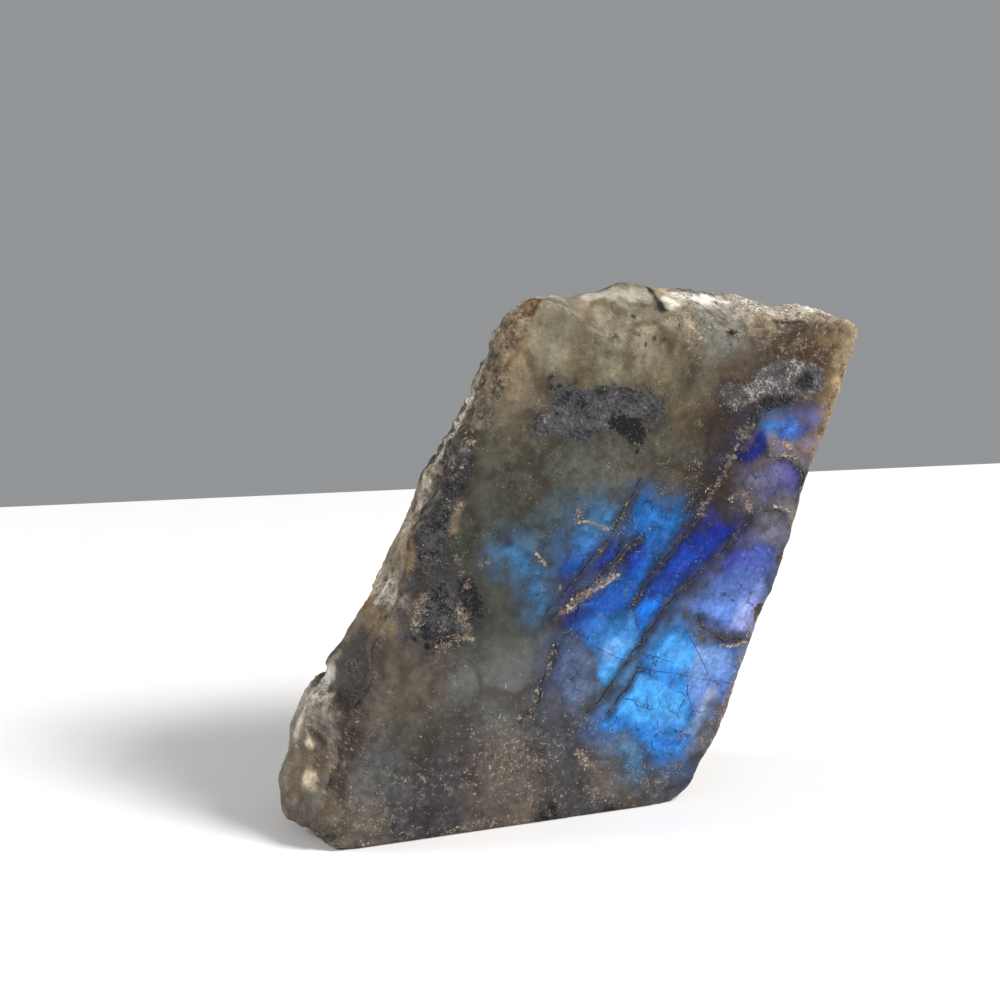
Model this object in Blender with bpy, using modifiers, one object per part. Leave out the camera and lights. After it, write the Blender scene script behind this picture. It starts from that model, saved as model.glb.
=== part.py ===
"""Rough labradorite chunk: one broken slab of feldspar standing on its base.

The slab leans to the right like a parallelogram. Its front is a flat face that has been
ground smooth, crossed by a few open cleavage cracks. The left side, the top and the back are
as they broke: lumps, flat cleavage facets and steps. It is a single solid stone.

X runs along the front face, Y runs from the front face to the back, +Z is up. The origin is
on the ground, under the middle of the stone. Outlines below are (x, z) in millimetres.
"""

import math

import bmesh
import bpy
import numpy as np
from mathutils import Vector, noise
from mathutils.kdtree import KDTree

MM = 0.001

# Driving dimensions, in millimetres and degrees
BASE_THICKNESS = 18.5
TOP_THICKNESS = 11.5
HEIGHT = 59.0
FACE_LEAN = 4.0
WAIST_SHARE = 0.46
REAR_SHARE = 0.84
VOXEL = 0.62
TRIANGLES = 9000
# From the front lower left corner to the middle of the stone's box, along X and Y
MIDDLE = (27.239, 9.944)

# Where the ground face ends, down its left side and round to the right
FRONT_OUTLINE = [
    (22.4, 58.9), (20.0, 56.4), (18.4, 53.6), (17.2, 50.4), (15.6, 47.4), (13.7, 43.9),
    (11.6, 40.4), (9.2, 37.2), (7.3, 34.4), (6.8, 31.5), (5.7, 28.2), (4.4, 25.2),
    (2.6, 22.8), (1.9, 17.8), (0.0, 14.4), (-1.6, 10.2), (-3.2, 6.4), (-4.0, 3.8),
    (-3.2, 0.5), (-0.6, 0.0), (7.0, 0.0), (20.8, 0.0), (22.2, 0.0), (27.6, 0.0),
    (28.4, 0.0), (35.6, 0.0), (37.7, 0.2), (40.0, 1.4), (41.2, 3.9), (44.1, 7.9),
    (45.5, 12.1), (47.7, 17.2), (48.6, 20.2), (51.5, 25.9), (53.7, 32.5), (56.0, 38.6),
    (58.3, 43.6), (58.9, 45.7), (60.0, 48.0), (60.3, 49.7), (62.4, 54.4), (59.0, 54.5),
    (53.5, 54.8), (48.5, 55.4), (43.6, 56.4), (38.7, 57.2), (36.6, 56.6), (34.8, 55.3),
    (31.7, 55.1), (29.2, 55.5), (27.2, 56.8), (25.4, 57.6),
]
# The widest section, which gives the stone its silhouette
WAIST_OUTLINE = [
    (25.0, 58.2), (22.3, 57.3), (19.6, 56.6), (17.9, 55.8), (16.2, 54.8), (15.7, 52.4),
    (15.6, 49.9), (15.2, 48.4), (14.5, 46.9), (13.7, 45.1), (13.2, 43.1), (12.6, 41.4),
    (11.7, 39.9), (11.2, 38.2), (10.6, 36.8), (9.6, 35.2), (9.2, 33.9), (8.2, 32.1),
    (6.6, 29.9), (6.2, 27.9), (4.7, 26.6), (4.0, 25.2), (3.5, 24.1), (2.3, 23.1),
    (-0.9, 21.5), (-3.2, 19.8), (-2.6, 18.6), (-1.3, 17.6), (-1.9, 15.9), (-3.4, 14.8),
    (-4.9, 13.3), (-5.6, 11.1), (-5.7, 8.8), (-6.2, 6.2), (-8.3, 2.9), (-9.2, 0.1),
    (-7.4, 0.0), (-6.2, 0.0), (36.4, 0.0), (38.6, 1.0), (40.4, 3.0), (42.6, 6.8),
    (44.8, 11.8), (46.6, 17.2), (48.2, 20.6), (50.4, 25.6), (52.4, 31.8), (54.6, 38.0),
    (56.8, 43.6), (58.4, 47.8), (60.4, 53.0), (58.2, 55.3), (53.9, 57.3), (47.8, 57.3),
    (42.7, 58.3), (39.1, 58.2), (37.4, 58.6), (36.0, 59.6), (34.3, 59.8), (32.5, 58.6),
    (31.2, 58.4), (29.7, 59.0), (28.4, 58.3), (27.2, 57.4),
]
# The back falls away from the waist on every side but the base
REAR_OUTLINE = [
    (27.0, 56.2), (22.6, 53.0), (19.8, 48.6), (15.5, 46.1), (13.3, 39.9), (10.9, 34.7),
    (8.2, 29.4), (7.1, 25.4), (4.9, 21.5), (0.6, 15.9), (-2.2, 9.0), (-3.6, 4.0),
    (-2.0, 0.0), (35.0, 0.0), (38.4, 5.0), (41.4, 9.6), (43.4, 15.8), (47.4, 22.4),
    (49.6, 29.8), (53.6, 36.4), (55.2, 43.2), (58.0, 49.6), (57.2, 53.2), (50.4, 54.6),
    (45.3, 57.4), (38.6, 56.4), (34.2, 57.5),
]
CENTRE = (27.5, 28.0)
BACK_PULL_IN = 0.87

# Flat facets knocked off the broken sides: centre (x, share of depth, z), outward direction,
# reach in millimetres
FACETS = [
    ((-4.9, 0.30, 9.0), (-1.0, -0.55, 0.10), 6.0),
    ((-4.3, 0.62, 11.5), (-1.0, 0.35, 0.45), 5.0),
    ((-5.2, 0.55, 3.2), (-0.8, -0.30, -0.75), 5.0),
    ((-1.9, 0.34, 15.8), (-0.55, -0.35, 0.80), 3.0),
    ((1.0, 0.32, 19.3), (-0.95, -0.50, 0.30), 5.0),
    ((1.7, 0.66, 21.0), (-0.8, 0.30, 0.60), 4.5),
    ((4.0, 0.30, 25.4), (-0.8, -0.70, 0.45), 3.6),
    ((5.9, 0.34, 27.7), (-0.5, -0.45, 0.85), 2.6),
    ((6.8, 0.36, 30.5), (-0.95, -0.55, -0.20), 3.2),
    ((9.0, 0.34, 34.6), (-0.7, -0.65, 0.50), 3.4),
    ((11.9, 0.40, 39.0), (-0.85, -0.60, 0.35), 4.2),
    ((15.4, 0.45, 45.4), (-0.9, -0.50, 0.40), 4.6),
    ((18.7, 0.40, 52.0), (-0.85, -0.55, 0.35), 4.0),
    ((33.0, 0.22, 56.5), (-0.10, -0.72, 0.80), 6.0),
    ((41.6, 0.04, 55.4), (0.30, -0.62, 0.74), 6.5),
    ((50.0, 0.30, 56.2), (0.12, -0.25, 0.95), 7.0),
    ((60.6, 0.45, 52.6), (0.85, 0.45, 0.35), 4.0),
    ((46.0, 0.62, 13.5), (0.90, 0.55, -0.30), 9.0),
    ((53.8, 0.70, 33.0), (0.88, 0.60, -0.20), 9.0),
    ((22.0, 0.96, 46.0), (-0.55, 0.75, 0.40), 10.0),
    ((46.0, 0.96, 47.0), (0.35, 0.88, 0.45), 11.0),
    ((8.0, 0.92, 20.0), (-0.60, 0.80, 0.15), 9.0),
    ((38.0, 0.97, 10.0), (0.40, 0.85, -0.35), 9.0),
    ((24.0, 0.99, 27.0), (-0.12, 0.99, -0.10), 12.0),
    ((12.0, 0.97, 6.0), (-0.30, 0.88, -0.38), 7.5),
]

# Cleavage runs up to the right through the whole stone. It steps the back and opens cracks
# in the ground face: crack lines, each with its width and depth.
CLEAVAGE_RISE = 60.0
BACK_STEPS = [(-11.0, 0.9), (-3.5, -0.8), (4.5, 1.2), (12.0, -0.7), (19.0, 1.0), (26.0, -0.9)]
STEP_WIDTH = 0.7
CRACKS = [
    ([(34.0, 38.0), (30.8, 33.3), (26.8, 28.4), (22.8, 24.4)], 0.9, 0.35),
    ([(33.8, 31.3), (30.3, 28.6), (26.7, 26.1), (23.1, 23.3)], 1.3, 0.50),
    ([(48.2, 44.6), (42.3, 37.7), (39.0, 31.3), (32.7, 23.9)], 1.0, 0.40),
    ([(47.3, 32.4), (42.6, 28.0), (37.3, 23.9), (31.7, 17.0), (27.4, 12.2)], 1.2, 0.50),
    ([(49.9, 39.4), (53.3, 38.7), (54.1, 36.4)], 0.9, 0.35),
    ([(41.0, 21.7), (42.9, 19.2), (46.8, 18.7)], 0.9, 0.35),
]

# Breakage. Swells: size in millimetres, and how far each stands in or out at the waist and at
# the back. Facets: how far apart they are, how flat each is made, how much it leans, how far
# it may cut or fill, and whether it keeps to the back.
SWELLS = [(14.0, 0.25, 1.3), (5.0, 0.25, 0.35)]
CELLS = [(11.0, 0.97, 0.20, 2.0, True), (5.2, 0.94, 0.12, 0.6, False), (2.7, 0.75, 0.12, 0.35, False)]
EDGE_NICKS = 0.6
# Corners of the space in which the middles of the facets are strewn
FACET_SPACE = [(-12.0, -1.0, -1.0), (66.0, 21.0, 61.0)]
SEED = 41
SEED_SHIFT = Vector((3.7, 11.3, 5.9))


def clear_scene():
    for obj in list(bpy.data.objects):
        bpy.data.objects.remove(obj, do_unlink=True)


def stone_material():
    """Dull grey-olive feldspar, for the plain solid."""
    material = bpy.data.materials.new("labradorite")
    material.use_nodes = True
    shader = material.node_tree.nodes["Principled BSDF"]
    shader.inputs["Base Color"].default_value = (0.075, 0.072, 0.062, 1.0)
    shader.inputs["Roughness"].default_value = 0.42
    shader.inputs["Metallic"].default_value = 0.0
    return material


def radius_at(outline, angle):
    """Distance from CENTRE to the outline in the direction of angle."""
    along = np.array([math.cos(angle), math.sin(angle)])
    points = np.array(outline) - CENTRE
    nexts = np.roll(points, -1, axis=0)
    sides = nexts - points
    turn = along[0] * sides[:, 1] - along[1] * sides[:, 0]
    turn = np.where(np.abs(turn) < 1e-9, 1e-9, turn)
    reach = (points[:, 0] * sides[:, 1] - points[:, 1] * sides[:, 0]) / turn
    share = (points[:, 0] * along[1] - points[:, 1] * along[0]) / turn
    crossed = (share >= -1e-6) & (share <= 1 + 1e-6) & (reach > 0)
    return reach[crossed].max()


def front_y(z):
    return z * math.tan(math.radians(FACE_LEAN))


def thickness_at(z):
    return BASE_THICKNESS + (TOP_THICKNESS - BASE_THICKNESS) * z / HEIGHT


def depth_share_of(points):
    return (points[:, 1] - front_y(points[:, 2])) / thickness_at(points[:, 2])


def slab_loft():
    """The slab as a loft through its four outlines, from the ground face to the back."""
    around = np.linspace(0, 2 * math.pi, 260, endpoint=False)
    front, waist, rear = (
        np.array([radius_at(outline, angle) for angle in around])
        for outline in (FRONT_OUTLINE, WAIST_OUTLINE, REAR_OUTLINE)
    )
    sections = [
        (0.0, front * 0.5),
        (0.0, front),
        (WAIST_SHARE, waist),
        (REAR_SHARE, rear),
        (1.0, rear * BACK_PULL_IN),
        (1.0, rear * 0.4),
    ]
    mesh = bpy.data.meshes.new("slab")
    shape = bmesh.new()
    rings = []
    for share, radii in sections:
        x = CENTRE[0] + radii * np.cos(around)
        z = np.maximum(CENTRE[1] + radii * np.sin(around), 0.0)
        y = front_y(z) + share * thickness_at(z)
        rings.append([shape.verts.new(corner) for corner in zip(x, y, z)])
    count = len(around)
    for nearer, farther in zip(rings, rings[1:]):
        for i in range(count):
            j = (i + 1) % count
            shape.faces.new((nearer[i], farther[i], farther[j], nearer[j]))
    for ring in (rings[0], rings[-1]):
        centre = shape.verts.new(sum((v.co for v in ring), Vector()) / count)
        for i in range(count):
            shape.faces.new((ring[i], ring[(i + 1) % count], centre))
    bmesh.ops.recalc_face_normals(shape, faces=shape.faces)
    shape.to_mesh(mesh)
    shape.free()
    stone = bpy.data.objects.new("labradorite_chunk", mesh)
    return stone


def apply_modifiers(stone):
    """Bakes the stone's modifiers into its mesh."""
    bpy.context.view_layer.update()
    graph = bpy.context.evaluated_depsgraph_get()
    baked = bpy.data.meshes.new_from_object(stone.evaluated_get(graph))
    old = stone.data
    stone.modifiers.clear()
    stone.data = baked
    bpy.data.meshes.remove(old)


def even_mesh(stone, voxel):
    remesh = stone.modifiers.new("even", "REMESH")
    remesh.mode = "VOXEL"
    remesh.voxel_size = voxel
    apply_modifiers(stone)
    drop_crumbs(stone)


def drop_crumbs(stone):
    """Keeps the stone itself and drops any crumb that a remesh left loose."""
    shape = bmesh.new()
    shape.from_mesh(stone.data)
    unseen = set(shape.verts)
    pieces = []
    while unseen:
        edge_of_piece = [unseen.pop()]
        piece = set(edge_of_piece)
        while edge_of_piece:
            for edge in edge_of_piece.pop().link_edges:
                fresh = set(edge.verts) & unseen
                unseen -= fresh
                piece |= fresh
                edge_of_piece.extend(fresh)
        pieces.append(piece)
    pieces.sort(key=len)
    for crumb in pieces[:-1]:
        bmesh.ops.delete(shape, geom=list(crumb), context="VERTS")
    shape.to_mesh(stone.data)
    shape.free()


def positions(mesh):
    flat = np.empty(len(mesh.vertices) * 3, np.float32)
    mesh.vertices.foreach_get("co", flat)
    return flat.reshape(-1, 3).astype(float)


def normals(mesh):
    flat = np.empty(len(mesh.vertices) * 3, np.float32)
    mesh.vertex_normals.foreach_get("vector", flat)
    return flat.reshape(-1, 3).astype(float)


def set_positions(mesh, points):
    mesh.vertices.foreach_set("co", points.astype(np.float32).ravel())
    mesh.update()


def smooth_step(low, high, value):
    share = np.clip((value - low) / (high - low), 0.0, 1.0)
    return share * share * (3 - 2 * share)


def broken_share(points):
    """1 on the broken surfaces, 0 on the ground face and at the base."""
    behind_face = points[:, 1] - front_y(points[:, 2])
    return smooth_step(0.15, 1.6, behind_face) * smooth_step(0.0, 1.2, points[:, 2])


def step_back(points):
    """Raises and lowers strips of the back along the cleavage."""
    rise = math.radians(CLEAVAGE_RISE)
    across = (points[:, 0] - CENTRE[0]) * math.sin(rise) - (points[:, 2] - CENTRE[1]) * math.cos(rise)
    wander = np.array([noise.noise(Vector(p) / 9.0 + SEED_SHIFT) for p in points])
    height = np.zeros(len(points))
    for place, size in BACK_STEPS:
        height += size * smooth_step(place - STEP_WIDTH / 2, place + STEP_WIDTH / 2, across + 3.0 * wander)
    height -= height.mean()
    points[:, 1] += height * smooth_step(0.55, 0.9, depth_share_of(points))


def swell_surfaces(stone):
    """Lumps and hollows of the broken sides, before they are faceted."""
    points = positions(stone.data)
    outward = normals(stone.data)
    height = np.zeros(len(points))
    backward = smooth_step(0.45, 0.9, depth_share_of(points))
    for size, at_waist, at_back in SWELLS:
        swell = np.array([noise.noise(Vector(point) / size + SEED_SHIFT) for point in points])
        height += swell * (at_waist + (at_back - at_waist) * backward)
    points += outward * (height * broken_share(points))[:, None]
    step_back(points)
    set_positions(stone.data, points)


def facet_surfaces(stone, spacing, flatness, tilt, reach, back_only):
    """Breaks the sides into flat facets: the points nearest to each centre fall on one plane."""
    points = positions(stone.data)
    draw = np.random.default_rng(SEED)
    low, high = np.array(FACET_SPACE)
    number = int(np.prod(high - low) / spacing ** 3)
    centres = draw.uniform(low, high, (number, 3))
    leans = draw.normal(0, tilt, (number, 3))
    tree = KDTree(len(centres))
    for i, centre in enumerate(centres):
        tree.insert(centre, i)
    tree.balance()
    cell = np.array([tree.find(point)[1] for point in points])
    middle = np.zeros(centres.shape)
    facing = np.zeros(centres.shape)
    np.add.at(middle, cell, points)
    outward = normals(stone.data)
    np.add.at(facing, cell, outward)
    count = np.maximum(np.bincount(cell, minlength=number), 1)[:, None]
    middle /= count
    facing = facing / count + leans
    facing /= np.linalg.norm(facing, axis=1)[:, None]
    amount = flatness * broken_share(points)
    if back_only:
        amount *= smooth_step(0.3, 0.7, outward[:, 1])
    standing = ((points - middle[cell]) * facing[cell]).sum(axis=1)
    standing = np.clip(standing, -reach, reach)
    points -= facing[cell] * (standing * amount)[:, None]
    set_positions(stone.data, points)


def knock_off_facets(stone):
    points = positions(stone.data)
    for (x, share, z), direction, reach in FACETS:
        centre = np.array([x, front_y(z) + share * thickness_at(z), z])
        outward = np.array(direction) / np.linalg.norm(direction)
        offset = points - centre
        standing = offset @ outward
        near = 1 - smooth_step(0.75 * reach, reach, np.linalg.norm(offset, axis=1))
        points -= outward * (np.clip(standing, 0, None) * near * 0.9)[:, None]
    set_positions(stone.data, points)


def distance_to_line(points, line):
    """Distance in X and Z from each point to a line through several corners."""
    flat = points[:, [0, 2]]
    nearest = np.full(len(points), 1e9)
    for start, end in zip(np.array(line), np.array(line)[1:]):
        side = end - start
        share = np.clip((flat - start) @ side / (side @ side), 0.0, 1.0)
        nearest = np.minimum(nearest, np.linalg.norm(flat - start - share[:, None] * side, axis=1))
    return nearest


def grind_face(stone):
    """Cuts the front flat, nicks its border, and opens the cleavage cracks in it."""
    points = positions(stone.data)
    facing = normals(stone.data)[:, 1] < -0.55
    behind = points[:, 1] - front_y(points[:, 2])
    on_face = facing & (behind < 0.5)
    points[:, 1] = np.where(on_face | (behind < 0), front_y(points[:, 2]), points[:, 1])
    for line, width, depth in CRACKS:
        near = distance_to_line(points, line)
        points[:, 1] += np.where(on_face, depth * (1 - smooth_step(0.15 * width, 0.75 * width, near)), 0)
    rim = smooth_step(0.0, 1.0, behind) * (1 - smooth_step(1.2, 3.5, behind))
    rim *= smooth_step(0.5, 2.0, points[:, 2])
    nicks = np.array([noise.noise(Vector(p) / 1.7 + SEED_SHIFT) for p in points])
    inward = np.array([CENTRE[0], 0.0, CENTRE[1]]) - points * [1, 0, 1]
    inward /= np.linalg.norm(inward, axis=1)[:, None]
    points += inward * (EDGE_NICKS * rim * np.clip(nicks, 0, None))[:, None]
    set_positions(stone.data, points)


def flatten_base(stone, within):
    """Puts every point that is lower than within onto the flat the stone stands on."""
    points = positions(stone.data)
    points[:, 2] = np.where(points[:, 2] < within, 0.0, points[:, 2])
    set_positions(stone.data, points)


def thin_out(stone, triangles):
    """Fewer triangles, kept where the surface bends."""
    stone.data.calc_loop_triangles()
    decimate = stone.modifiers.new("thin out", "DECIMATE")
    decimate.ratio = triangles / len(stone.data.loop_triangles)
    decimate.use_collapse_triangulate = True
    apply_modifiers(stone)


def to_metres(stone):
    """Moves the stone over the origin and turns its millimetres into metres."""
    points = positions(stone.data)
    set_positions(stone.data, (points - [MIDDLE[0], MIDDLE[1], 0.0]) * MM)


def build_chunk():
    collection = bpy.data.collections.new("rough_labradorite_chunk")
    bpy.context.scene.collection.children.link(collection)
    stone = slab_loft()
    collection.objects.link(stone)
    even_mesh(stone, VOXEL)
    swell_surfaces(stone)
    knock_off_facets(stone)
    for cells in CELLS:
        facet_surfaces(stone, *cells)
    flatten_base(stone, 0.35)
    even_mesh(stone, VOXEL)
    grind_face(stone)
    flatten_base(stone, 0.30)
    thin_out(stone, TRIANGLES)
    flatten_base(stone, 0.12)
    to_metres(stone)
    stone.data.materials.clear()
    stone.data.materials.append(stone_material())


clear_scene()
build_chunk()
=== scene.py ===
"""Looks of the rough labradorite chunk: one stone, ground flat in front and broken elsewhere.

Lengths are in millimetres until they go to Blender. "Face" coordinates are (x, z) on the
ground front face, with x counted from its lower left corner and z from the ground. Marks
of the broken sides also have y, counted from the same corner towards the back.
"""

import math

import bpy
import numpy as np
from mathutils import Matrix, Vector, noise
from mathutils.kdtree import KDTree


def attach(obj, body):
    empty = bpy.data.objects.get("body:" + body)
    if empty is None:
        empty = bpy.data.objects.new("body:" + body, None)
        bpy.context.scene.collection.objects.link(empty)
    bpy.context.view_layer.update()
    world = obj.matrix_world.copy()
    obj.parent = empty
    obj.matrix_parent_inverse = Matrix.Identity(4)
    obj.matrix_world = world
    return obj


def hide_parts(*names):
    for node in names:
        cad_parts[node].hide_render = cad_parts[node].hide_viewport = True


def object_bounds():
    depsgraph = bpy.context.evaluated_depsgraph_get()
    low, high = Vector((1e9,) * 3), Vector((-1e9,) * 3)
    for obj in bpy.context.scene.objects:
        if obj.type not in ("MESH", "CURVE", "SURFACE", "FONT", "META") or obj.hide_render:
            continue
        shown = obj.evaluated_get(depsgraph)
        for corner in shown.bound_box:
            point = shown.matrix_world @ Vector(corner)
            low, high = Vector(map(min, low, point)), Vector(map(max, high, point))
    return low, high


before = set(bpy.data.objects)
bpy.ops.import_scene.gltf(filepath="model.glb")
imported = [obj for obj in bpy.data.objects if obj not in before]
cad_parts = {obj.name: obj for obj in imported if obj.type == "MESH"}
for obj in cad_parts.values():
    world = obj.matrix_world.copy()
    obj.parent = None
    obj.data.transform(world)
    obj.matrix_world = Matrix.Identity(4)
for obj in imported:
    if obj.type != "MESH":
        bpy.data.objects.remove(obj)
cad_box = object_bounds()

MM = 0.001
# The face's lower left corner, from the middle of the stone
CORNER_X = -27.239
CORNER_Y = -9.944
FACE_LEAN = math.radians(4.0)

# Fine surface of the broken sides; facets have a spacing, a flatness and a tilt
VOXEL = 0.36
SOFTENING_ROUNDS = 2
FINE_FACETS = [(2.0, 0.75, 0.20), (0.9, 0.55, 0.26)]
GRIT_SIZE = 0.6
GRIT_DEPTH = 0.05
SEED = 7

# Ground face: how near its plane a place counts as on it, how far it is lowered, with slight
# waves, and how its cracks open
FACE_REACH = 0.55
LOWERED = 0.05
WAVE_SIZE = 5.0
WAVE_HEIGHT = 0.04
CRACK_REACH = 0.60
CRACK_OPEN_SHARE = 0.6
CRACK_WANDER = 0.15
CRACK_WANDER_SIZE = 1.6

# Worn border of the ground face
CHIP_SIZE = 2.2
CHIP_REACH = 1.3
CHIP_DEPTH = 0.28
CHIP_SHARE = 0.15
BEVEL_REACH = 2.4
BEVEL_DEPTH = 0.85
UNEVENNESS = 0.8
# The wear sets in from the base up to this height
WEAR_HEIGHT = 2.0
# The bevel fades out towards the sharp right end
BEVEL_FULL_X = 50.0
BEVEL_END_X = 56.0
# Off the face, the border counts as a broken one left of x = LEFT_PART_X + LEFT_PART_LEAN * z
LEFT_PART_X = 10.0
LEFT_PART_LEAN = 0.55
# How far behind the face the breaks still count as its border
BORDER_DEPTH = 2.0

# How borders of marks wander: (size, reach) of each wave
BODY_WANDER = [(3.0, 1.1), (1.1, 0.5)]
MARK_WANDER = [(1.8, 0.35)]
SCHILLER_WANDER = [(2.4, 0.9)]
# Depths behind the face between which the dark mineral is left out: where that sets in, is full,
# is still full, and ends
CLEAN_BAND = (3.6, 5.4, 9.5, 12.0)
CLEAN_STRENGTH = 3.0
# Rounds of smoothing against which hollows are measured
HOLLOW_ROUNDS = 4
# Soft edge of a patch of schiller, from outside to inside
PATCH_EDGE = (-0.35, 0.55)
# Stands for the distance of a mark that is nowhere near
FAR = 9.0

# Camera: its place, how it is turned, and its lens
CAMERA_PLACE = (-67.9, -175.7, 81.7)
CAMERA_AZIMUTH = math.radians(-19.0)
CAMERA_PITCH = math.radians(14.0)
LENS = 61.2
SENSOR = 36.0

# Room: corners and shades of the floor, colour of the walls, and lamps with their name, place,
# size, power and colour, all turned to one point
FLOOR_CORNERS = [(-800, -800, 0), (1400, -800, 0), (1400, -55, 0), (-1000, 298, 0)]
FLOOR_SHADES = [(0.84, 0.835, 0.84), (0.88, 0.875, 0.88)]
ROOM_COLOUR = (0.29, 0.30, 0.31)
LAMPS = [
    ("window", (410, -300, 520), 190, 6.4, (1.0, 0.98, 0.95)),
    ("left_glow", (-420, 160, 260), 160, 1.2, (1.0, 0.97, 0.93)),
]
LAMP_AIM = (0.0, 0.0, 25.0)

# Colours of the feldspar, with painted glow, glints and highlights among them
MILK = (0.190, 0.172, 0.118)
WARM_MILK = (0.235, 0.195, 0.125)
OLIVE = (0.098, 0.075, 0.038)
KHAKI = (0.120, 0.100, 0.068)
# Ochre tone of the thin edges, partly a painted glow of light shining through them
OCHRE = (0.215, 0.140, 0.062)
AMBER_AND_GLOW = (0.330, 0.240, 0.140)
BROWN = (0.060, 0.035, 0.018)
DARK_BROWN = (0.028, 0.018, 0.012)
UMBER = (0.038, 0.026, 0.018)
GREEN_GREY = (0.042, 0.044, 0.035)
PALE_GREEN = (0.078, 0.080, 0.062)
OLIVE_GREY = (0.066, 0.060, 0.044)
GREY = (0.055, 0.055, 0.050)
# Lighter hazy grey: partly the milky tone, partly a painted sheen of the face
HAZE_AND_SHEEN = (0.098, 0.100, 0.098)
SLATE = (0.046, 0.046, 0.052)
DARK_SLATE = (0.036, 0.035, 0.042)
SOOT = (0.016, 0.013, 0.014)
BLUE_SLATE = (0.052, 0.054, 0.066)
TAUPE = (0.098, 0.080, 0.064)
STEEL = (0.155, 0.150, 0.130)
CREAM = (0.400, 0.315, 0.200)
TAN = (0.240, 0.190, 0.130)
BUFF = (0.165, 0.140, 0.108)
# Painted highlight of the lit crest
PAINTED_CREST_HIGHLIGHT = (0.400, 0.370, 0.300)
# Pale crust of the top, made lighter still as a painted highlight of the lit crest
PALE_CRUST_AND_HIGHLIGHT = (0.700, 0.640, 0.550)
# Painted glow of light shining through the thin left lump
PAINTED_GLOW = (0.560, 0.450, 0.300)
# Painted glint of facets that catch the light
PAINTED_GLINT = (0.500, 0.440, 0.360)
# Painted silvery highlight on rims and facets
PAINTED_SILVER_HIGHLIGHT = (0.760, 0.720, 0.650)
# Painted bright core of that glow
PAINTED_GLOW_CORE = (0.950, 0.820, 0.600)
GOLDEN = (0.190, 0.138, 0.080)
TEAL_GREY = (0.045, 0.076, 0.100)

# Colours of the schiller
COBALT = (0.004, 0.016, 0.250)
BLUE = (0.006, 0.075, 0.400)
AZURE = (0.062, 0.360, 0.860)
SKY = (0.008, 0.115, 0.350)
TEAL = (0.055, 0.185, 0.380)
PERIWINKLE = (0.105, 0.205, 0.560)
VIOLET = (0.070, 0.110, 0.420)
LAVENDER = (0.380, 0.430, 0.860)
LILAC = (0.165, 0.158, 0.235)
MIST = (0.300, 0.340, 0.480)
PALE_AZURE = (0.200, 0.370, 0.740)
DEEP_AZURE = (0.030, 0.215, 0.640)
ROYAL = (0.003, 0.165, 0.680)
GREY_BLUE = (0.112, 0.155, 0.240)
DUSK = (0.070, 0.065, 0.270)
NIGHT = (0.008, 0.012, 0.060)
INDIGO = (0.035, 0.045, 0.290)
SLATE_BLUE = (0.055, 0.085, 0.190)
PALE_SHEEN = (0.340, 0.380, 0.560)

# Colours of the dark mineral and of pale grains
BLACK_GRAIN = (0.005, 0.006, 0.008)
GREY_GRAIN = (0.074, 0.071, 0.075)
DIM_FLAKE = (0.140, 0.136, 0.136)
BRIGHT_FLAKE = (0.520, 0.455, 0.405)
HALO = (0.022, 0.020, 0.020)
BROWN_GRAIN = (0.130, 0.096, 0.066)
TAN_GRAIN = (0.300, 0.235, 0.165)
PALE_GRAIN = (0.640, 0.570, 0.470)
DUST = (0.640, 0.620, 0.590)
RUBBLE = (0.075, 0.056, 0.044)
PALE_RUBBLE = (0.280, 0.215, 0.160)

# Colours of cracks, stains and wear, with painted shade and highlights among them
VEIN_FILTER = (0.50, 0.40, 0.28)
DARK_DOT = (0.020, 0.017, 0.014)
# Painted shade beside the cracks
CRACK_SHADE = (0.008, 0.011, 0.028)
CRACK_FILLING = (0.022, 0.020, 0.020)
PALE_FILLING = (0.082, 0.070, 0.060)
CRACK_CORE = (0.010, 0.009, 0.009)
CRACK_CHIP = (0.360, 0.300, 0.230)
LEDGE_SHADE = (0.200, 0.160, 0.125)
LEDGE_LIGHT = (0.520, 0.460, 0.370)
RUST = (0.185, 0.090, 0.030)
DEEP_RUST = (0.080, 0.024, 0.009)
SPECK = (0.040, 0.020, 0.010)
SCRATCH = (0.560, 0.540, 0.500)
BROWN_STAIN = (0.070, 0.042, 0.024)
PIT = (0.020, 0.015, 0.011)
DARK_STREAK = (0.050, 0.036, 0.024)
# Painted glint of silvery streaks
PAINTED_STREAK_GLINT = (0.620, 0.550, 0.450)
# Painted shade in hollows, in dark brown
PAINTED_HOLLOW_SHADE = (0.026, 0.018, 0.012)
# Painted highlight on ridges
PAINTED_RIDGE_HIGHLIGHT = (0.420, 0.350, 0.260)

# Surface of the feldspar
FELDSPAR_IOR = 1.56
FACE_SPECULAR = 0.20
SIDE_SPECULAR = 0.28
FACE_BUMP = 0.14
SIDE_BUMP = 0.3
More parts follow.
